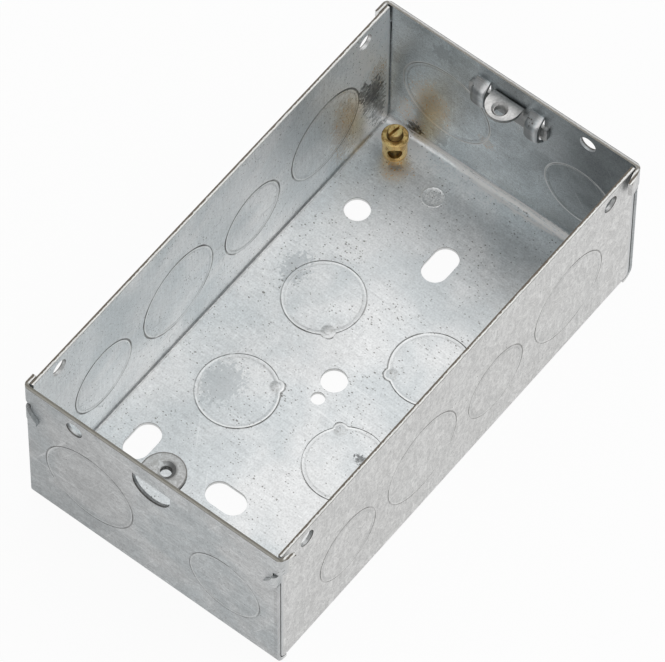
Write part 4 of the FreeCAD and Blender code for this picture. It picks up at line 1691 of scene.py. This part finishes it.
@dataclass
class SlidingLug:
    """The levelling lug, which slides in the two bridges of the far end wall.

    Attributes:
        hole_x: Place of the tapped hole along the length, in millimetres.
    """

    hole_x: float = SIZE.hole_x

    def build(self, finish: PlatedFinish) -> list[bpy.types.Object]:
        """Dresses the lug and adds the turns of its thread.

        Args:
            finish: Finish of the lug.

        Returns:
            The added pieces.
        """
        material = finish.material()
        dress(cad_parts["adjustable_lug"], material)
        return [ThreadSleeve("adjustable_lug_thread", self.hole_x).build(material, Body.LUG, Slot.STRIP)]


# Studio


@dataclass
class Studio:
    """Camera, lamps, pale floor and surroundings.

    Attributes:
        camera_place: Place of the camera, in millimetres.
        camera_right: Direction of the picture's right.
        camera_down: Direction of the picture's bottom.
        camera_ahead: Direction of view.
        sensor: Width of the camera's sensor, in millimetres.
        focal_length: Focal length for that sensor, in millimetres.
        clip: Nearest and farthest distance that the camera sees, in metres.
        softbox_place: Middle of the large overhead lamp, in millimetres.
        softbox_size: Length and width of that lamp, in millimetres.
        softbox_tilt: Tilt of that lamp, in degrees.
        softbox_level: Brightness of that lamp, where 1 is white.
        room_level: Brightness of the room above the backdrop, on the left of the object.
        room_front_level: Brightness of the room on the right of the object.
        backdrop_level: Brightness of the backdrop low round the object.
        backdrop_edge: Heights between which the backdrop goes over into the room, as parts of 1.
        room_turn: How far to each side the room's two levels reach into one another, as part of 1.
        floor_colour: Colour of the floor.
        floor_radius: Radius of the floor, in millimetres.
        floor_drop: How far it lies below the object, in millimetres.
        floor_sides: Number of sides of the floor.
        shown: How white the floor is for the rays that see it: camera, glossy and transmission.
    """

    camera_place: Point = (-697.511, -539.183, 1485.195)
    camera_right: Point = (0.61871188, -0.78560137, 0.00510833)
    camera_down: Point = (-0.67117876, -0.53195375, -0.51627927)
    camera_ahead: Point = (0.4083071, 0.31599951, -0.85640506)
    sensor: float = 36.0
    focal_length: float = 409.76
    clip: tuple[float, float] = (0.05, 20.0)
    softbox_place: Point = (430.0, 0.0, 900.0)
    softbox_size: tuple[float, float] = (1000.0, 1500.0)
    softbox_tilt: float = 12.0
    softbox_level: float = 0.94
    room_level: float = 0.40
    room_front_level: float = 0.72
    backdrop_level: float = 0.85
    backdrop_edge: tuple[float, float] = (0.10, 0.45)
    room_turn: float = 0.40
    floor_colour: Colour = (0.80, 0.80, 0.80)
    floor_radius: float = 6000.0
    floor_drop: float = 0.05
    floor_sides: int = 64
    shown: tuple[float, float, float] = (0.94, 0.50, 0.94)

    def build(self) -> None:
        """Sets up everything round the object."""
        self.camera()
        self.softbox()
        self.room()
        self.floor()
        bpy.context.scene.view_settings.view_transform = "Standard"

    def camera(self) -> None:
        """Places the camera at the photograph's viewing angle."""
        data = bpy.data.cameras.new("camera")
        data.sensor_width = self.sensor
        data.lens = self.focal_length
        data.clip_start, data.clip_end = self.clip
        camera = bpy.data.objects.new("camera", data)
        axes = (Vector(self.camera_right), -Vector(self.camera_down), -Vector(self.camera_ahead))
        turn = Matrix(axes).transposed().to_4x4()
        camera.matrix_world = Matrix.Translation(metres(self.camera_place)) @ turn
        bpy.context.scene.collection.objects.link(camera)
        bpy.context.scene.camera = camera

    def softbox(self) -> None:
        """Hangs the large soft lamp over the object, towards its far end."""
        data = bpy.data.lights.new("softbox", "AREA")
        data.shape = "RECTANGLE"
        data.size, data.size_y = self.softbox_size[0] * MM, self.softbox_size[1] * MM
        data.energy = math.pi * data.size * data.size_y * self.softbox_level
        lamp = bpy.data.objects.new("softbox", data)
        lamp.location = metres(self.softbox_place)
        lamp.rotation_euler = (0.0, math.radians(self.softbox_tilt), 0.0)
        bpy.context.scene.collection.objects.link(lamp)

    def room(self) -> None:
        """Paints the surroundings: a pale backdrop low down and a greyer room above."""
        world = bpy.data.worlds.new("room")
        world.use_nodes = True
        graph = NodeGraph(world.node_tree)
        _, sideways, height = graph.split(graph.node("ShaderNodeTexCoord").outputs["Generated"])
        room = sideways.step(-self.room_turn, self.room_turn, self.room_front_level, self.room_level)
        level = height.step(*self.backdrop_edge, self.backdrop_level, room)
        strength = level.most(graph.node("ShaderNodeLightPath").outputs["Is Camera Ray"])
        background = graph.named("ShaderNodeBackground", Color=WHITE, Strength=strength)
        graph.named("ShaderNodeOutputWorld", Surface=background.outputs[0])
        bpy.context.scene.world = world

    def floor(self) -> None:
        """Lays the pale floor, which shows white and keeps a soft shadow."""
        ring = [(self.floor_radius * cosine, self.floor_radius * sine, -self.floor_drop)
                for cosine, sine in circle(self.floor_sides)]
        floor = mesh_object("studio_floor", ring, [tuple(range(len(ring)))])
        material = bpy.data.materials.new("studio_floor")
        material.use_nodes = True
        graph = NodeGraph(material.node_tree)
        path = graph.node("ShaderNodeLightPath").outputs
        seen, mirrored, through = (Value(graph, path[f"Is {kind} Ray"]) * level
                                   for kind, level in zip(("Camera", "Glossy", "Transmission"), self.shown))
        pale = graph.named("ShaderNodeBsdfDiffuse", Color=self.floor_colour)
        white = graph.named("ShaderNodeEmission", Color=WHITE, Strength=1.0)
        mix = graph.fed(graph.node("ShaderNodeMixShader"), seen.most(mirrored).most(through), pale.outputs[0],
                        white.outputs[0])
        graph.named("ShaderNodeOutputMaterial", Surface=mix)
        floor.data.materials.append(material)


def main() -> None:
    """Builds the object and the studio, and reports each piece."""
    logging.basicConfig(level=logging.INFO, format="%(name)s: %(message)s")
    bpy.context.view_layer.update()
    made = SheetBox().build(GalvanisedFinish())
    made += SlidingLug().build(PlatedFinish())
    made += EarthTerminal().build()
    for piece in made:
        log.info("built %s with %d faces", piece.name, len(piece.data.polygons))
    Studio().build()


if __name__ == "__main__":
    main()
